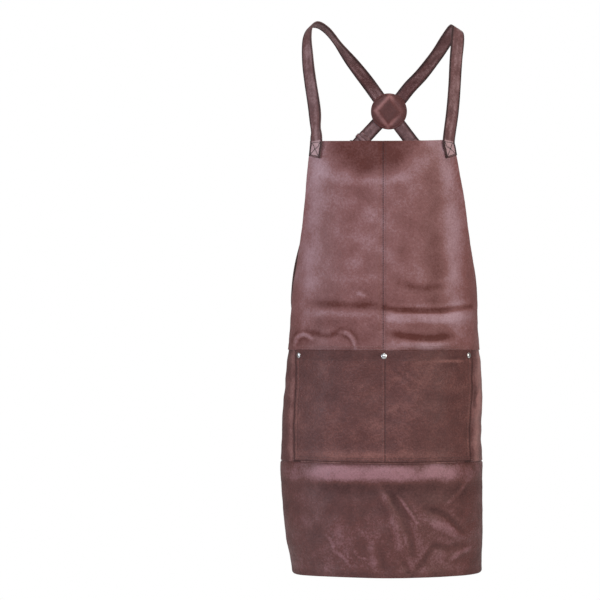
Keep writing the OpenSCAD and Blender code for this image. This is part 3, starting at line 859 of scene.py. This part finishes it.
skirt_rows = lines(Z_SKIRT + SEAM_LAP, Z_HEM, 3.0, fine=(Z_SKIRT,), fine_reach=12)
skirt = panel(
    "skirt", left_edge, wrap, skirt_rows, columns(570.0),
    lambda x, z: -HIDE - STEP * smooth((z - Z_SKIRT + 5) / 4), HIDE, [SKIRT, FLESH, EDGE],
    hem_drop, skirt_tone)
keep(skirt, "apron", "skirt", "skirt_panel")

# ---------------- pocket
POCKET_GAP = 6.5
POCKET_LIFT = GAP + 0.3
HEM_H = 17
POCKET_W = 370.0


def pocket_open(x, z):
    """How far each pocket gapes, most at its mouth."""
    centre = smooth((np.abs(x) - 5) / 55)
    edge = smooth((POCKET_HALF - 9 - np.abs(x)) / 55)
    height = smooth((z - Z_POCKET - 6) / 90)
    return POCKET_GAP * centre * edge * height


def pocket_lift(x, z):
    """How far the pocket's inner face stands off, pressed in along its stitching."""
    pressed = 0.35 * bump(np.abs(x), 2.2) + 0.25 * bump(z - Z_POCKET - 4, 1.5)
    pressed = pressed + 0.25 * bump(np.abs(x) - POCKET_HALF + 4, 1.5)
    return POCKET_LIFT + pocket_open(x, z) - pressed


pocket_rows = lines(Z_WAIST + 0.7, Z_POCKET, 3.0, fine=(Z_MOUTH - HEM_H, Z_POCKET + 6), fine_reach=6)
pocket = panel(
    "pocket", at_x(-POCKET_HALF), at_x(POCKET_HALF), pocket_rows,
    columns(POCKET_W, (6.0, POCKET_W / 2, POCKET_W - 6)), pocket_lift, HIDE, [POCKET, FLESH, EDGE],
    tone_at=pocket_tone_and_painted_light)
keep(pocket, "apron", "pocket", "pocket_panel")
for side, word in SIDES:
    a, b = sorted((side * 38.0, side * 127.0))
    hem = panel(
        "hem_" + word, at_x(a), at_x(b), lines(Z_MOUTH - 0.6, Z_MOUTH - HEM_H, 2.6), columns(100.0),
        lambda x, z: pocket_lift(x, z) - 0.45 - HEM_T, HEM_T, [FLESH, POCKET, EDGE])
    keep(hem, "apron", "pocket", "pocket_hem_" + word)

# ---------------- patches
for side, word in SIDES:
    for title, top, low, near, far, node in (
            ("corner_patch_", Z_BIB - 2, Z_BIB - 38, 2, 30, "bib_corner_patch_"),
            ("side_patch_", Z_WAIST + 56, Z_WAIST + 15, 6, 34, "waist_patch_")):
        a, b = (near, far) if side < 0 else (far, near)
        patch = panel(
            title + word,
            lambda z, a=a: edge_angle(side, a, z), lambda z, b=b: edge_angle(side, b, z),
            lines(top, low, 2.5), columns(28.0), lambda x, z: -(HIDE + GAP + PATCH_T) + 0 * x, PATCH_T,
            [BIB, FLESH, EDGE])
        keep(patch, "apron", "bib", node + word)

# ---------------- strap routes, as the CAD has them
STRAP_W = 28.0
CROSS = np.array([10.0, 236.0, -164.0])
SLOPE = {1: math.radians(53), -1: math.radians(47)}
REACH = {1: 106.0, -1: 96.0}
BAR_R = 1.7
BAR_HOLE = BAR_R + 0.05
BUCKLE_L = 20.0


def line(side):
    return np.array([side * math.cos(SLOPE[side]), 0, -math.sin(SLOPE[side])])


def centre_of(side):
    return CROSS - 1.75 * side * AWAY


def bar_place(side):
    return centre_of(side) + line(side) * REACH[side]


def bar_axis(side):
    return bar_place(side) - BAR_HOLE * AWAY


STITCH_H = 32.0
CORNER_IN = STRAP_W / 2 + 2.5
OVER = {
    -1: [
        (-137, 56, -182), (-146, 72, -120), (-152, 86, -70), (-154, 97, -24), (-144, 111, 0),
        (-121, 135, -4), (-94, 162, -31), (-62, 196, -71), (-34, 224, -105)],
    1: [
        (135, 56, -182), (140, 72, -120), (143.5, 86, -70), (147, 99, -27), (144, 112, -7),
        (128, 138, -24), (106, 168, -56), (78, 202, -90), (52, 226, -116)]}
OVER_NORMALS = {
    -1: [
        (-0.5, -0.86, 0.1), (-0.55, -0.8, 0.15), (-0.6, -0.75, 0.2), (-0.75, -0.45, 0.5), (-0.5, 0.1, 0.9),
        (0.35, 0.35, 0.9), (0.6, 0.38, 0.65), (0.25, 0.8, 0.5), (0.05, 0.97, 0.2)],
    1: [
        (0.5, -0.86, 0.1), (0.5, -0.82, 0.15), (0.45, -0.85, 0.2), (0.4, -0.7, 0.6), (0.35, 0.3, 0.9),
        (0.1, 0.6, 0.8), (-0.1, 0.75, 0.65), (-0.05, 0.9, 0.4), (0, 0.98, 0.2)]}
SHOULDER_LIFT = GAP + 1.0 + GAP


def shoulder_line(side):
    """The route and faces of a shoulder strap, from its sewn end to the bar of the buckle it holds."""
    heights = np.array([Z_BIB - STITCH_H + 4, Z_BIB - STITCH_H / 2 + 4, Z_BIB + 4])
    a = edge_angle(side, CORNER_IN, heights)
    ends, outs = skin(a, heights, SHOULDER_LIFT)
    points = np.concatenate([
        ends, np.array(OVER[side], float),
        [centre_of(-side) + line(-side) * s for s in (-30, 0, 30)], [bar_place(-side)]])
    faces = np.concatenate([outs, np.array(OVER_NORMALS[side], float), np.tile(AWAY, (4, 1))])
    return catmull(points, 12), catmull(faces, 12)


def even(route, faces, pitch=2.6):
    """A route and its faces at an even pitch."""
    at = travelled_along(route)
    count = max(2, int(at[-1] / pitch)) + 1
    spots = np.linspace(0, at[-1], count)
    return read_at(spots, at, route), unit(read_at(spots, at, faces))


def to_buckle(side, points):
    """Points given in a buckle's own frame: x along the strap, y along the bar and z away from the wearer."""
    d = line(side)
    p = np.asarray(points, float).reshape(-1, 3)
    along = p[:, :1] * d
    bar = p[:, 1:2] * np.array([d[2], 0, -d[0]])
    return bar_axis(side) + along + bar + p[:, 2:] * AWAY


def turn_back(side):
    """The fold of a strap end round the bar, with its short returning ply."""
    turn = np.radians(np.arange(15, 181, 15))
    arc = np.stack([BAR_HOLE * np.sin(turn), 0 * turn, BAR_HOLE * np.cos(turn)], -1)
    outs = np.stack([np.sin(turn), 0 * turn, np.cos(turn)], -1)
    back = np.array([[-x, 0, -BAR_HOLE] for x in (3, 6, 10, 14, 18, 22, 25, 28)], float)
    local = np.concatenate([arc, back])
    faces = np.concatenate([outs, np.tile([0.0, 0.0, -1.0], (len(back), 1))])
    zero = to_buckle(side, [[0, 0, 0]])
    return to_buckle(side, local), to_buckle(side, faces) - zero


BELT_T = 2.0
FOLD_R = BAR_HOLE + 1.6
TIP_LIFT = FOLD_R + 0.3
UNDER_LIFT = -(BAR_R + 0.35 + BELT_T)
TIP_REACH = 29.0
DOWN = {
    -1: [
        (-97, 229, -290), (-127, 220, -345), (-152, 205, -415), (-172, 180, -485), (-182, 150, -543),
        (-184, 128, -575)],
    1: [
        (115, 227, -315), (138, 216, -372), (158, 201, -437), (174, 178, -497), (182, 150, -546),
        (184, 128, -575)]}
DOWN_NORMALS = [(0.1, 1, 0), (0.25, 0.95, 0), (0.45, 0.88, 0), (0.75, 0.65, 0), (0.95, 0.3, 0), (1, 0, 0)]
WAIST_LIFT = -(HIDE + 2 * GAP + PATCH_T + 0.9 + BELT_T)
WAIST_IN = np.array([17.0, 18.0, 19.0])
WAIST_SEWN = np.array([Z_WAIST + 53, Z_WAIST + 35, Z_WAIST + 17])


def belt_line(side):
    """The route and faces of a waist strap, from its tip through the buckle to its sewn end."""
    places = [(s, TIP_LIFT) for s in (-TIP_REACH, -14, 0, 3)] + [(10, (TIP_LIFT + UNDER_LIFT) / 2)]
    places += [(BUCKLE_L + s, UNDER_LIFT) for s in (-1, 13, 27)]
    start = [bar_axis(side) + line(side) * s + AWAY * lift for s, lift in places]
    a = edge_angle(side, WAIST_IN, WAIST_SEWN)
    ends, outs = skin(a, WAIST_SEWN, WAIST_LIFT)
    points = np.concatenate([start, np.array(DOWN[side], float), ends])
    faces = np.concatenate([
        np.tile(AWAY, (8, 1)), np.array(DOWN_NORMALS, float) * np.array([side, 1, 1]), outs])
    return catmull(points, 12), catmull(faces, 12)


def offset_path(route, faces, sideways, lift):
    _, across, out = frames(route, faces)
    return route + across * sideways + out * lift, out


threads = {}


def sew(name, points, faces):
    threads.setdefault(name, []).append((points, faces))


def twisted(route, faces, degrees, centre, spread, clear):
    """The faces of a strap that turns about its own line near one place, and not before the clear length."""
    at = travelled_along(route)
    along = unit(np.gradient(route, axis=0))
    turn = math.radians(degrees) * bump(at - centre, spread) * smooth((at - clear) / 20.0)
    return faces * np.cos(turn)[:, None] + np.cross(along, faces) * np.sin(turn)[:, None]


# The left shoulder strap turns a little just above its boxed end: degrees, middle, spread and clear length
TWIST = (-15.0, 58.0, 15.0, 37.0)
SHOULDER_T = 1.6
STITCH_IN = 11.4
SHOULDERS = {}


def face_outwards(obj, merge_near=False):
    """Turns every face outwards, after joining points that lie together if that is asked for."""
    work = bmesh.new()
    work.from_mesh(obj.data)
    if merge_near:
        bmesh.ops.remove_doubles(work, verts=work.verts, dist=1e-6)
    bmesh.ops.recalc_face_normals(work, faces=work.faces)
    work.to_mesh(obj.data)
    work.free()


def sew_edges(word, route, faces, lifts):
    """Stitches along both edges of a strap, on its outer and its inner side."""
    for edge in (-1, 1):
        for lift, flip in zip(lifts, (1, -1)):
            path, out = offset_path(route, faces, edge * STITCH_IN, lift)
            sew("thread_strap_" + word, *stitch_row(path, out * flip, 3.4, 2.7, 0.36))


# Along a waist strap from the buckle's bar: its hole places and the ends of its prong slot
HOLES = (-22, 33, 45)
HOLE_R = 2
SLOT_ENDS = (0.3, 11.2)
SLOT_HALF = 1.8
THROUGH = 9


def hole_cutters(side):
    """Three round holes, and the slot that the prong comes through, as closed shapes across a waist strap."""
    cutters = []
    for place in HOLES:
        middle = to_buckle(side, [[place, 0, 0]])[0]
        outline = [(0, -THROUGH), (HOLE_R, -THROUGH), (HOLE_R, THROUGH), (0, THROUGH)]
        cutters.append(lathe(outline, middle, (0, 1, 0), 20))
    outline = []
    for end, way in zip(SLOT_ENDS, (-1, 1)):
        for t in np.linspace(0, math.pi, 9):
            outline.append((end + way * SLOT_HALF * math.sin(t), -way * SLOT_HALF * math.cos(t)))
    count = len(outline)
    ends = [to_buckle(side, [[x, y, out] for x, y in outline]) for out in (-THROUGH, THROUGH)]
    faces = [[k, (k + 1) % count, (k + 1) % count + count, k + count] for k in range(count)]
    faces += [list(range(count))[::-1], list(range(count, 2 * count))]
    cutters.append((np.concatenate(ends), faces))
    return merge(cutters)


def punch(strap, side):
    """Cuts the holes through a waist strap."""
    cutter = make("cutter", *hole_cutters(side), [EDGE])
    face_outwards(cutter)
    face_outwards(strap)
    modifier = strap.modifiers.new("holes", "BOOLEAN")
    modifier.object = cutter
    modifier.solver = "EXACT"
    modifier.material_mode = "TRANSFER"
    graph = bpy.context.evaluated_depsgraph_get()
    cut = bpy.data.meshes.new_from_object(strap.evaluated_get(graph))
    strap.modifiers.clear()
    strap.data = cut
    bpy.data.objects.remove(cutter)


for side, word in SIDES:
    route, faces = even(*shoulder_line(side))
    if side < 0:
        faces = twisted(route, faces, *TWIST)
    bent = np.linspace(0, 1, len(route))
    ripple = 0.5 * np.sin(bent * 31 + side) * smooth(bent * 8) * smooth((0.75 - bent) * 8)
    route = route + faces * ripple[:, None]
    SHOULDERS[side] = (route, faces)
    fold, outs = turn_back(-side)
    whole = np.concatenate([route, fold])
    strap = sweep(
        "upper_strap_" + word, whole, np.concatenate([faces, outs]),
        strap_profile(STRAP_W / 2, 0.0, SHOULDER_T), [STRAP, FLESH, EDGE], boxed=True)
    keep(strap, "apron", "strap", "shoulder_strap_" + word)
    under = sweep(
        "lining_" + word, route[:-4], faces[:-4], strap_profile(13.8, -1.3, -0.25, 0.0, 0.0),
        [SHADED_BACKING, STRAP, EDGE])
    keep(under, "apron", "lining", "strap_lining_" + word)
    sew_edges(word, route[2:-2], faces[2:-2], (1.45, -1.35))
    belt, belt_faces = even(*belt_line(side))
    at = np.linalg.norm(belt - belt[0], axis=1)
    tip = np.sqrt(np.clip(1 - (1 - np.minimum(at, 13.0) / 13.0) ** 2, 0.02, 1))
    waist_strap = sweep(
        "lower_strap_" + word, belt, belt_faces, strap_profile(STRAP_W / 2, 0.0, BELT_T, 0.2, 0.25),
        [STRAP, FLESH, EDGE], widths=tip)
    punch(waist_strap, side)
    keep(waist_strap, "apron", "strap", "waist_strap_" + word)
    sew_edges(word, belt[6:-2], belt_faces[6:-2], (BELT_T - 0.1, -0.1))

# ---------------- crossing discs
DISC_R = 37.0
DISC_T = 1.8
DISC_SEAM_R = 33.2


def beside(side, x, z):
    """The distance sideways from a strap's line through the disc's centre."""
    d = line(side)
    return x * d[2] - z * d[0]


def from_diagonals(x, z):
    """The larger distance from the two straps' lines, equal along a diamond."""
    return np.maximum(np.abs(beside(-1, x, z)), np.abs(beside(1, x, z)))


def disc_height(x, z, side):
    """How far a disc's inner face stands off the plane between the straps."""
    ridge = 0.6 + 2.75 * smooth((20.5 - np.abs(beside(-side, x, z))) / 6.5)
    r = np.hypot(x, z)
    domed = 0.6 + 3.2 * np.clip(1 - (r / (DISC_R + 0.5)) ** 5, 0, 1)
    fullness = np.log(np.exp(2.2 * domed) + np.exp(2.2 * ridge) - np.exp(1.32)) / 2.2
    diamond = 1.3 * smooth((23 - from_diagonals(x, z)) / 13)
    sag = 0.8 * bump(x - 3, 9) * bump(z + 4, 11)
    return fullness + (diamond - sag) * smooth((34 - r) / 8)


def disc_tone_and_painted_highlights(x, z):
    """Painted highlights along the edges of the pressed diamond, strongest at its upper left and along its
    lower side, and darker inside and outside it.
    """
    corner = from_diagonals(x, z)
    lit = bump(corner - 20.5, 2.8) * (0.15 + 0.60 * smooth((z - x) / 30) + 0.45 * smooth((-z - 6) / 16))
    return np.clip(lit - 0.20 * smooth((19 - corner) / 8) - 0.15 * smooth((corner - 24) / 5), -1, 1)


# Rings of a disc, closer together by its stitching and its rim
DISC_RADII = np.concatenate([[0.0], np.arange(1.5, 30.0, 1.3), np.arange(30.0, 36.2, 0.7), [36.5, DISC_R]])
for side, word in ((-1, "inner"), (1, "outer")):
    segments = 150
    turn = np.linspace(0, 2 * math.pi, segments, endpoint=False)
    r = DISC_RADII[:, None]
    x = r * np.cos(turn)
    z = r * np.sin(turn)
    low = disc_height(x, z, side)
    high = low + DISC_T - 0.35 * bump(r - DISC_SEAM_R, 0.8) - np.where(r >= DISC_R, 0.45, 0)
    low = low + np.where(r >= DISC_R, 0.4, 0)
    # One chain of rings, from the middle of the outer face over the rim to the middle of the inner face
    points = np.concatenate([
        stack(CROSS[0] + x, CROSS[1] + side * high, CROSS[2] + z),
        stack(CROSS[0] + x, CROSS[1] + side * low, CROSS[2] + z)[::-1]]).reshape(-1, 3)
    quads, _ = ring_quads(2 * len(DISC_RADII), segments, False)
    slots = [0] * (len(DISC_RADII) - 1) + [2] + [1] * (len(DISC_RADII) - 1)
    disc = make("disc_" + word, points, quads[:-2], [DISC, FLESH, EDGE], np.repeat(slots, segments))
    tone(disc, disc_tone_and_painted_highlights(points[:, 0] - CROSS[0], points[:, 2] - CROSS[2]))
    face_outwards(disc, merge_near=True)
    disc.data.polygons.foreach_set("use_smooth", np.full(len(disc.data.polygons), True))
    keep(disc, "apron", "disc", "crossing_disc_" + word)
    turn = np.linspace(0, 2 * math.pi, 200)
    x = DISC_SEAM_R * np.cos(turn)
    z = DISC_SEAM_R * np.sin(turn)
    path = stack(CROSS[0] + x, CROSS[1] + side * (disc_height(x, z, side) + DISC_T - 0.2), CROSS[2] + z)
    sew("thread_disc", *stitch_row(path, np.tile([0.0, float(side), 0.0], (200, 1)), 3.2, 2.5, 0.38))


# ---------------- buckles and keepers
def tube(path, radius, closed=False, sides=14):
    """Points and faces of a round bar along a path."""
    radius = np.broadcast_to(radius, len(path))
    _, across, out = frames(path, np.tile(AWAY, (len(path), 1)), closed)
    turn = np.arange(sides) * 2 * math.pi / sides
    points = path[:, None] + circles(across, out, turn) * radius[:, None, None]
    return points.reshape(-1, 3), ring_quads(len(path), sides, closed)[0]


def rounded_box(half_x, half_y, corner, middle, per_corner=7):
    """A closed rounded rectangle in a plane."""
    out = []
    for cx, cy, start in ((1, 1, 0), (-1, 1, 90), (-1, -1, 180), (1, -1, 270)):
        for t in np.radians(start + np.linspace(0, 90, per_corner)):
            out.append((
                middle[0] + cx * (half_x - corner) + corner * math.cos(t),
                middle[1] + cy * (half_y - corner) + corner * math.sin(t)))
    return np.array(out)


BUCKLE_HALF = 16.3
KEEPER_AT = -16.0
KEEPER_HALF = 14.3 + 0.7
# The prong's shank: places along it, and its radius at each
SHANK = [
    (1.2, 1.05), (3, 1.1), (6, 1.1), (10, 1.08), (14, 1.02), (18, 0.95), (20.5, 0.9), (22.0, 0.75),
    (22.6, 0.4)]

for side, word in SIDES:
    outline = rounded_box(BUCKLE_L / 2, BUCKLE_HALF, 2.6, (BUCKLE_L / 2, 0.0))
    path = to_buckle(side, np.stack([outline[:, 0], outline[:, 1], 0 * outline[:, 0]], -1))
    buckle = make("buckle_" + word, *tube(path, BAR_R, closed=True, sides=18), [GUNMETAL])
    keep(buckle, "buckle_" + word, "buckle", "buckle_frame_" + word)
    section = rounded_box(0.62, 1.5, 0.45, (2.38, 0.0), 5)
    segments = 40
    turn = np.linspace(0, 2 * math.pi, segments, endpoint=False)
    eye = np.concatenate([
        stack(section[:, 0] * math.cos(t), section[:, 1], section[:, 0] * math.sin(t)) for t in turn])
    rise = math.atan2(BAR_R + 0.05 + 1.1 - 1.75, BUCKLE_L)
    run, thick = np.array(SHANK).T
    shank = np.stack([run * math.cos(rise), 0 * run, 1.85 + run * math.sin(rise)], -1)
    eye_faces, _ = ring_quads(segments, len(section), True)
    prong_points, prong_faces = merge([
        (to_buckle(side, eye), eye_faces), tube(to_buckle(side, shank), thick)])
    prong = make("prong_" + word, prong_points, prong_faces, [GUNMETAL])
    face_outwards(prong)
    keep(prong, "prong_" + word, "buckle", "buckle_prong_" + word)
    low = -FOLD_R - 0.3
    high = TIP_LIFT + BELT_T + 0.3
    outline = rounded_box(KEEPER_HALF, (high - low) / 2 + 0.7, 2.6, (0.0, (high + low) / 2))
    spread = []
    for k in range(len(outline)):
        a = outline[k]
        b = outline[(k + 1) % len(outline)]
        steps = max(1, int(np.hypot(*(b - a)) / 2.0))
        spread += [a + (b - a) * s / steps for s in range(steps)]
    outline = np.array(spread)
    keeper_path = to_buckle(side, stack(KEEPER_AT, outline[:, 0], outline[:, 1]))
    middle = to_buckle(side, [[KEEPER_AT, 0.0, (high + low) / 2]])[0]
    along = unit(np.roll(keeper_path, -1, 0) - np.roll(keeper_path, 1, 0))
    keeper_outs = unit(np.cross(along, np.tile(line(side), (len(along), 1))))
    if np.sum((keeper_path - middle) * keeper_outs) < 0:
        keeper_outs = -keeper_outs
    keeper = sweep(
        "keeper_" + word, keeper_path, keeper_outs, strap_profile(4.5, -0.65, 0.65, 0.15, 0.12),
        [STRAP, FLESH, EDGE], closed=True)
    keep(keeper, "keeper_" + word, "strap", "strap_keeper_" + word)

# ---------------- rivets
# Outlines of a cap and a back, as radius and height. Each height is from the face that it sits on.
CAP = [
    (0, 0), (5.1, 0), (5.5, 0.25), (5.55, 0.6), (5.3, 0.95), (4.9, 1.15), (4.2, 1.62), (3.3, 2.05),
    (2.2, 2.38), (1.1, 2.52), (0, 2.56)]
BURR = [
    (0, -1.35), (1.6, -1.35), (1.9, -1.05), (3.6, -1.0), (4.5, -0.75), (4.8, -0.45), (4.7, -0.1), (0, -0.05)]
for x, word in ((-RIVET_X, "left"), (0.0, "centre"), (RIVET_X, "right")):
    a = angle_at(np.array([x]), np.array([Z_RIVET]))
    spot, out = (rows[0] for rows in skin(a, np.array([Z_RIVET]), 0.0))
    seat = POCKET_LIFT + HIDE - 0.35
    cap = lathe([(r, seat + h) for r, h in CAP], spot, out)
    post = lathe([(0, -3.2), (1.5, -3.2), (1.5, seat + 0.5), (0, seat + 0.5)], spot, out, 24)
    rivet = make("rivet_" + word, *merge([cap, post]), [NICKEL])
    keep(rivet, "apron", "rivet", "rivet_cap_" + word)
    back = -HIDE - (0.30 if x else 0.25)
    under = lathe([(r, back + h) for r, h in BURR], spot, out)
    burr = make("burr_" + word, *under, [NICKEL])
    keep(burr, "apron", "rivet", "rivet_back_" + word)


# ---------------- stitching on the body
SEW_STEP = 2.0


def sew_line(name, start, end, lift, pitch=3.3, length=2.7, thick=0.4, slant=0.12, inside=None):
    """Stitches between two (x, z) places, with a second row on the apron's inside if its lift is given."""
    count = max(2, int(math.hypot(end[0] - start[0], end[1] - start[1]) / SEW_STEP))
    xs, zs = (np.linspace(start[k], end[k], count) for k in (0, 1))
    for level, flip in ((lift, 1), (inside, -1)):
        if level is not None:
            path, outs = skin(angle_at(xs, zs), zs, level(xs, zs))
            sew(name, *stitch_row(path, outs * flip, pitch, length, thick, slant))


def flat(value):
    return lambda x, z: value + 0 * x


TOP = Z_BIB - 3
FOOT = Z_WAIST + 1
whip = SEAM_EDGE - 0.2
sew_line("thread_bib", (whip, TOP), (whip, FOOT), flat(-0.35), 4.6, 4.0, 0.42, 3.2)
sew_line("thread_bib", (3.4, TOP), (3.4, FOOT), flat(0.2), inside=flat(-HIDE - STEP - 0.1))
# Each double row across the apron: its name, the seam's height, drops below it, reach, and plies of hide
ROWS = [("thread_waist", Z_WAIST, (3.0, 8.5), 169.2, 2), ("thread_skirt", Z_SKIRT, (4.5, 9.0), 180.0, 1)]
for name, seam, drops, reach, plies in ROWS:
    for z in (seam + drop for drop in drops):
        for side in (-1, 1):
            inside = flat(-HIDE - plies * STEP - 0.1)
            sew_line(name, (side * 0.5, z), (side * reach, z), flat(0.15), inside=inside)


def over_pocket(x, z):
    return pocket_lift(x, z) + HIDE - 0.1


def sew_pocket(start, end):
    sew_line("thread_pocket", start, end, over_pocket)


for side in (-1, 1):
    for x in (side * (POCKET_HALF - 3.0), side * (POCKET_HALF - 7.5)):
        sew_pocket((x, Z_MOUTH - 2), (x, Z_POCKET + 3))
    for z in (Z_POCKET + 3.5, Z_POCKET + 8.0):
        sew_pocket((side * 1.0, z), (side * (POCKET_HALF - 3), z))
    sew_pocket((side * 3.0, Z_MOUTH - 2), (side * 3.0, Z_POCKET + 3))
    sew_pocket((side * 13.0, Z_MOUTH - 16), (side * (POCKET_HALF - 12), Z_MOUTH - 16))

# Boxed crosses at the strap ends
BOX_HALF = 10.6
BOX_ENDS = (3.0, 29.5)
for side, word in SIDES:
    route, faces = SHOULDERS[side]
    at = travelled_along(route)
    _, across, out = frames(route, faces)
    a, b, c, d = [(x, up) for up in BOX_ENDS for x in (-BOX_HALF, BOX_HALF)]
    for start, end in ((a, b), (c, d), (a, d), (b, c), (a, c), (b, d)):
        t = np.linspace(0, 1, 24)
        sideways, up = (start[k] + (end[k] - start[k]) * t for k in (0, 1))
        outs = read_at(up, at, out)
        path = read_at(up, at, route) + read_at(up, at, across) * sideways[:, None] + outs * 1.85
        sew("thread_box", *stitch_row(path, outs, 2.9, 2.8, 0.9))

THREAD_SLOTS = {
    "thread_bib": "bib", "thread_waist": "waist", "thread_skirt": "skirt", "thread_pocket": "pocket",
    "thread_strap_left": "strap", "thread_strap_right": "strap", "thread_box": "strap", "thread_disc": "disc"}
for name, parts in threads.items():
    points, faces = merge(parts)
    row = make(name, points, faces, [THREAD if name in ("thread_waist", "thread_skirt") else DARK_THREAD])
    keep(row, "apron", THREAD_SLOTS[name])

# ---------------- each sheet, how it is held and what it rests on, and its size, with its area held to its width times its length
SHEETS = [
    ("bib_left", "hung", ["upper_strap_left"]), ("bib_right", "hung", ["upper_strap_right"]),
    ("waist", "hung", ["bib_left", "bib_right"]), ("skirt", "hung", ["waist"]), ("pocket", "hung", ["waist"]),
    ("hem_left", "folded", ["pocket"]), ("hem_right", "folded", ["pocket"]),
    ("corner_patch_left", "laid", ["bib_left"]), ("corner_patch_right", "laid", ["bib_right"]),
    ("side_patch_left", "laid", ["bib_left"]), ("side_patch_right", "laid", ["bib_right"]),
    ("upper_strap_left", "hung", []), ("upper_strap_right", "hung", []),
    ("lining_left", "laid", ["upper_strap_left"]), ("lining_right", "laid", ["upper_strap_right"]),
    ("lower_strap_left", "hung", ["buckle_left"]), ("lower_strap_right", "hung", ["buckle_right"])]
for name, held, rests_on in SHEETS:
    wide, long, area = SIZES[name]
    if area is not None:
        area = min(area, wide * long)

# ---------------- floor, light and camera
PAPER = Nodes("floor_paper")
white = 0.9
grain = PAPER.noise(3.0).outputs["Fac"]
PAPER.shade(Base_Color=PAPER.mix(grain, (*[white * 0.97] * 3, 1), (*[white] * 3, 1)), Roughness=0.9)
FLOOR_Z = -1.45
bpy.ops.mesh.primitive_circle_add(vertices=96, radius=2.1, fill_type="NGON", location=(0, 0, FLOOR_Z))
floor = bpy.context.object
floor.name = "floor"
floor.data.materials.append(PAPER.material)

world = bpy.data.worlds.new("studio")
bpy.context.scene.world = world
world.use_nodes = True
tree = world.node_tree
tree.nodes.clear()


def background(colour, strength):
    node = tree.nodes.new("ShaderNodeBackground")
    node.inputs["Color"].default_value = colour
    node.inputs["Strength"].default_value = strength
    return node.outputs[0]


# White where the camera looks past the apron, and dimmer as light on it
backdrop = background((1, 1, 1, 1), 1.0)
ambient = background((1.0, 0.99, 0.985, 1), 0.36)
path_info = tree.nodes.new("ShaderNodeLightPath")
blend_world = tree.nodes.new("ShaderNodeMixShader")
world_out = tree.nodes.new("ShaderNodeOutputWorld")
tree.links.new(path_info.outputs["Is Camera Ray"], blend_world.inputs["Fac"])
tree.links.new(ambient, blend_world.inputs[1])
tree.links.new(backdrop, blend_world.inputs[2])
tree.links.new(blend_world.outputs[0], world_out.inputs["Surface"])


def aimed(name, data, place, target):
    """Puts a lamp or a camera at a place, pointing at a target."""
    obj = bpy.data.objects.new(name, data)
    bpy.context.scene.collection.objects.link(obj)
    obj.location = place
    obj.rotation_euler = (Vector(target) - Vector(place)).to_track_quat("-Z", "Y").to_euler()
    return obj


def area_light(name, place, target, size, power, colour):
    data = bpy.data.lights.new(name, "AREA")
    data.shape = "RECTANGLE"
    data.size = size[0]
    data.size_y = size[1]
    data.energy = power
    data.color = colour
    aimed(name, data, place, target)


# Each lamp: its name, place, target, size, power and colour
LAMPS = [
    ("front", (-0.15, -2.5, 0.15), (0, 0, -0.42), (1.2, 0.6), 30, (0.80, 0.87, 1.0)),
    ("left", (-2.3, -0.9, -0.3), (0, 0.1, -0.6), (0.7, 1.8), 30, (0.78, 0.86, 1.0)),
    ("right", (2.0, -1.4, -0.1), (0, 0.1, -0.6), (0.6, 1.8), 24, (1.0, 0.98, 0.95)),
    ("top", (0.3, -0.5, 1.8), (0, 0.05, -0.6), (1.4, 1.0), 22, (1, 1, 1)),
    ("back", (0.8, 2.6, 0.8), (0, 0.1, -0.5), (1.8, 1.8), 22, (1, 1, 1))]
for lamp in LAMPS:
    area_light(*lamp)

view = bpy.context.scene.view_settings
view.view_transform = "Standard"
view.look = "None"

camera_data = bpy.data.cameras.new("camera")
camera_data.sensor_width = 36
camera_data.lens = 155.9
camera_data.clip_end = 50
CAMERA_Z = -0.551
bpy.context.scene.camera = aimed("camera", camera_data, (0, -5.1, CAMERA_Z), (-0.165, 0, CAMERA_Z))
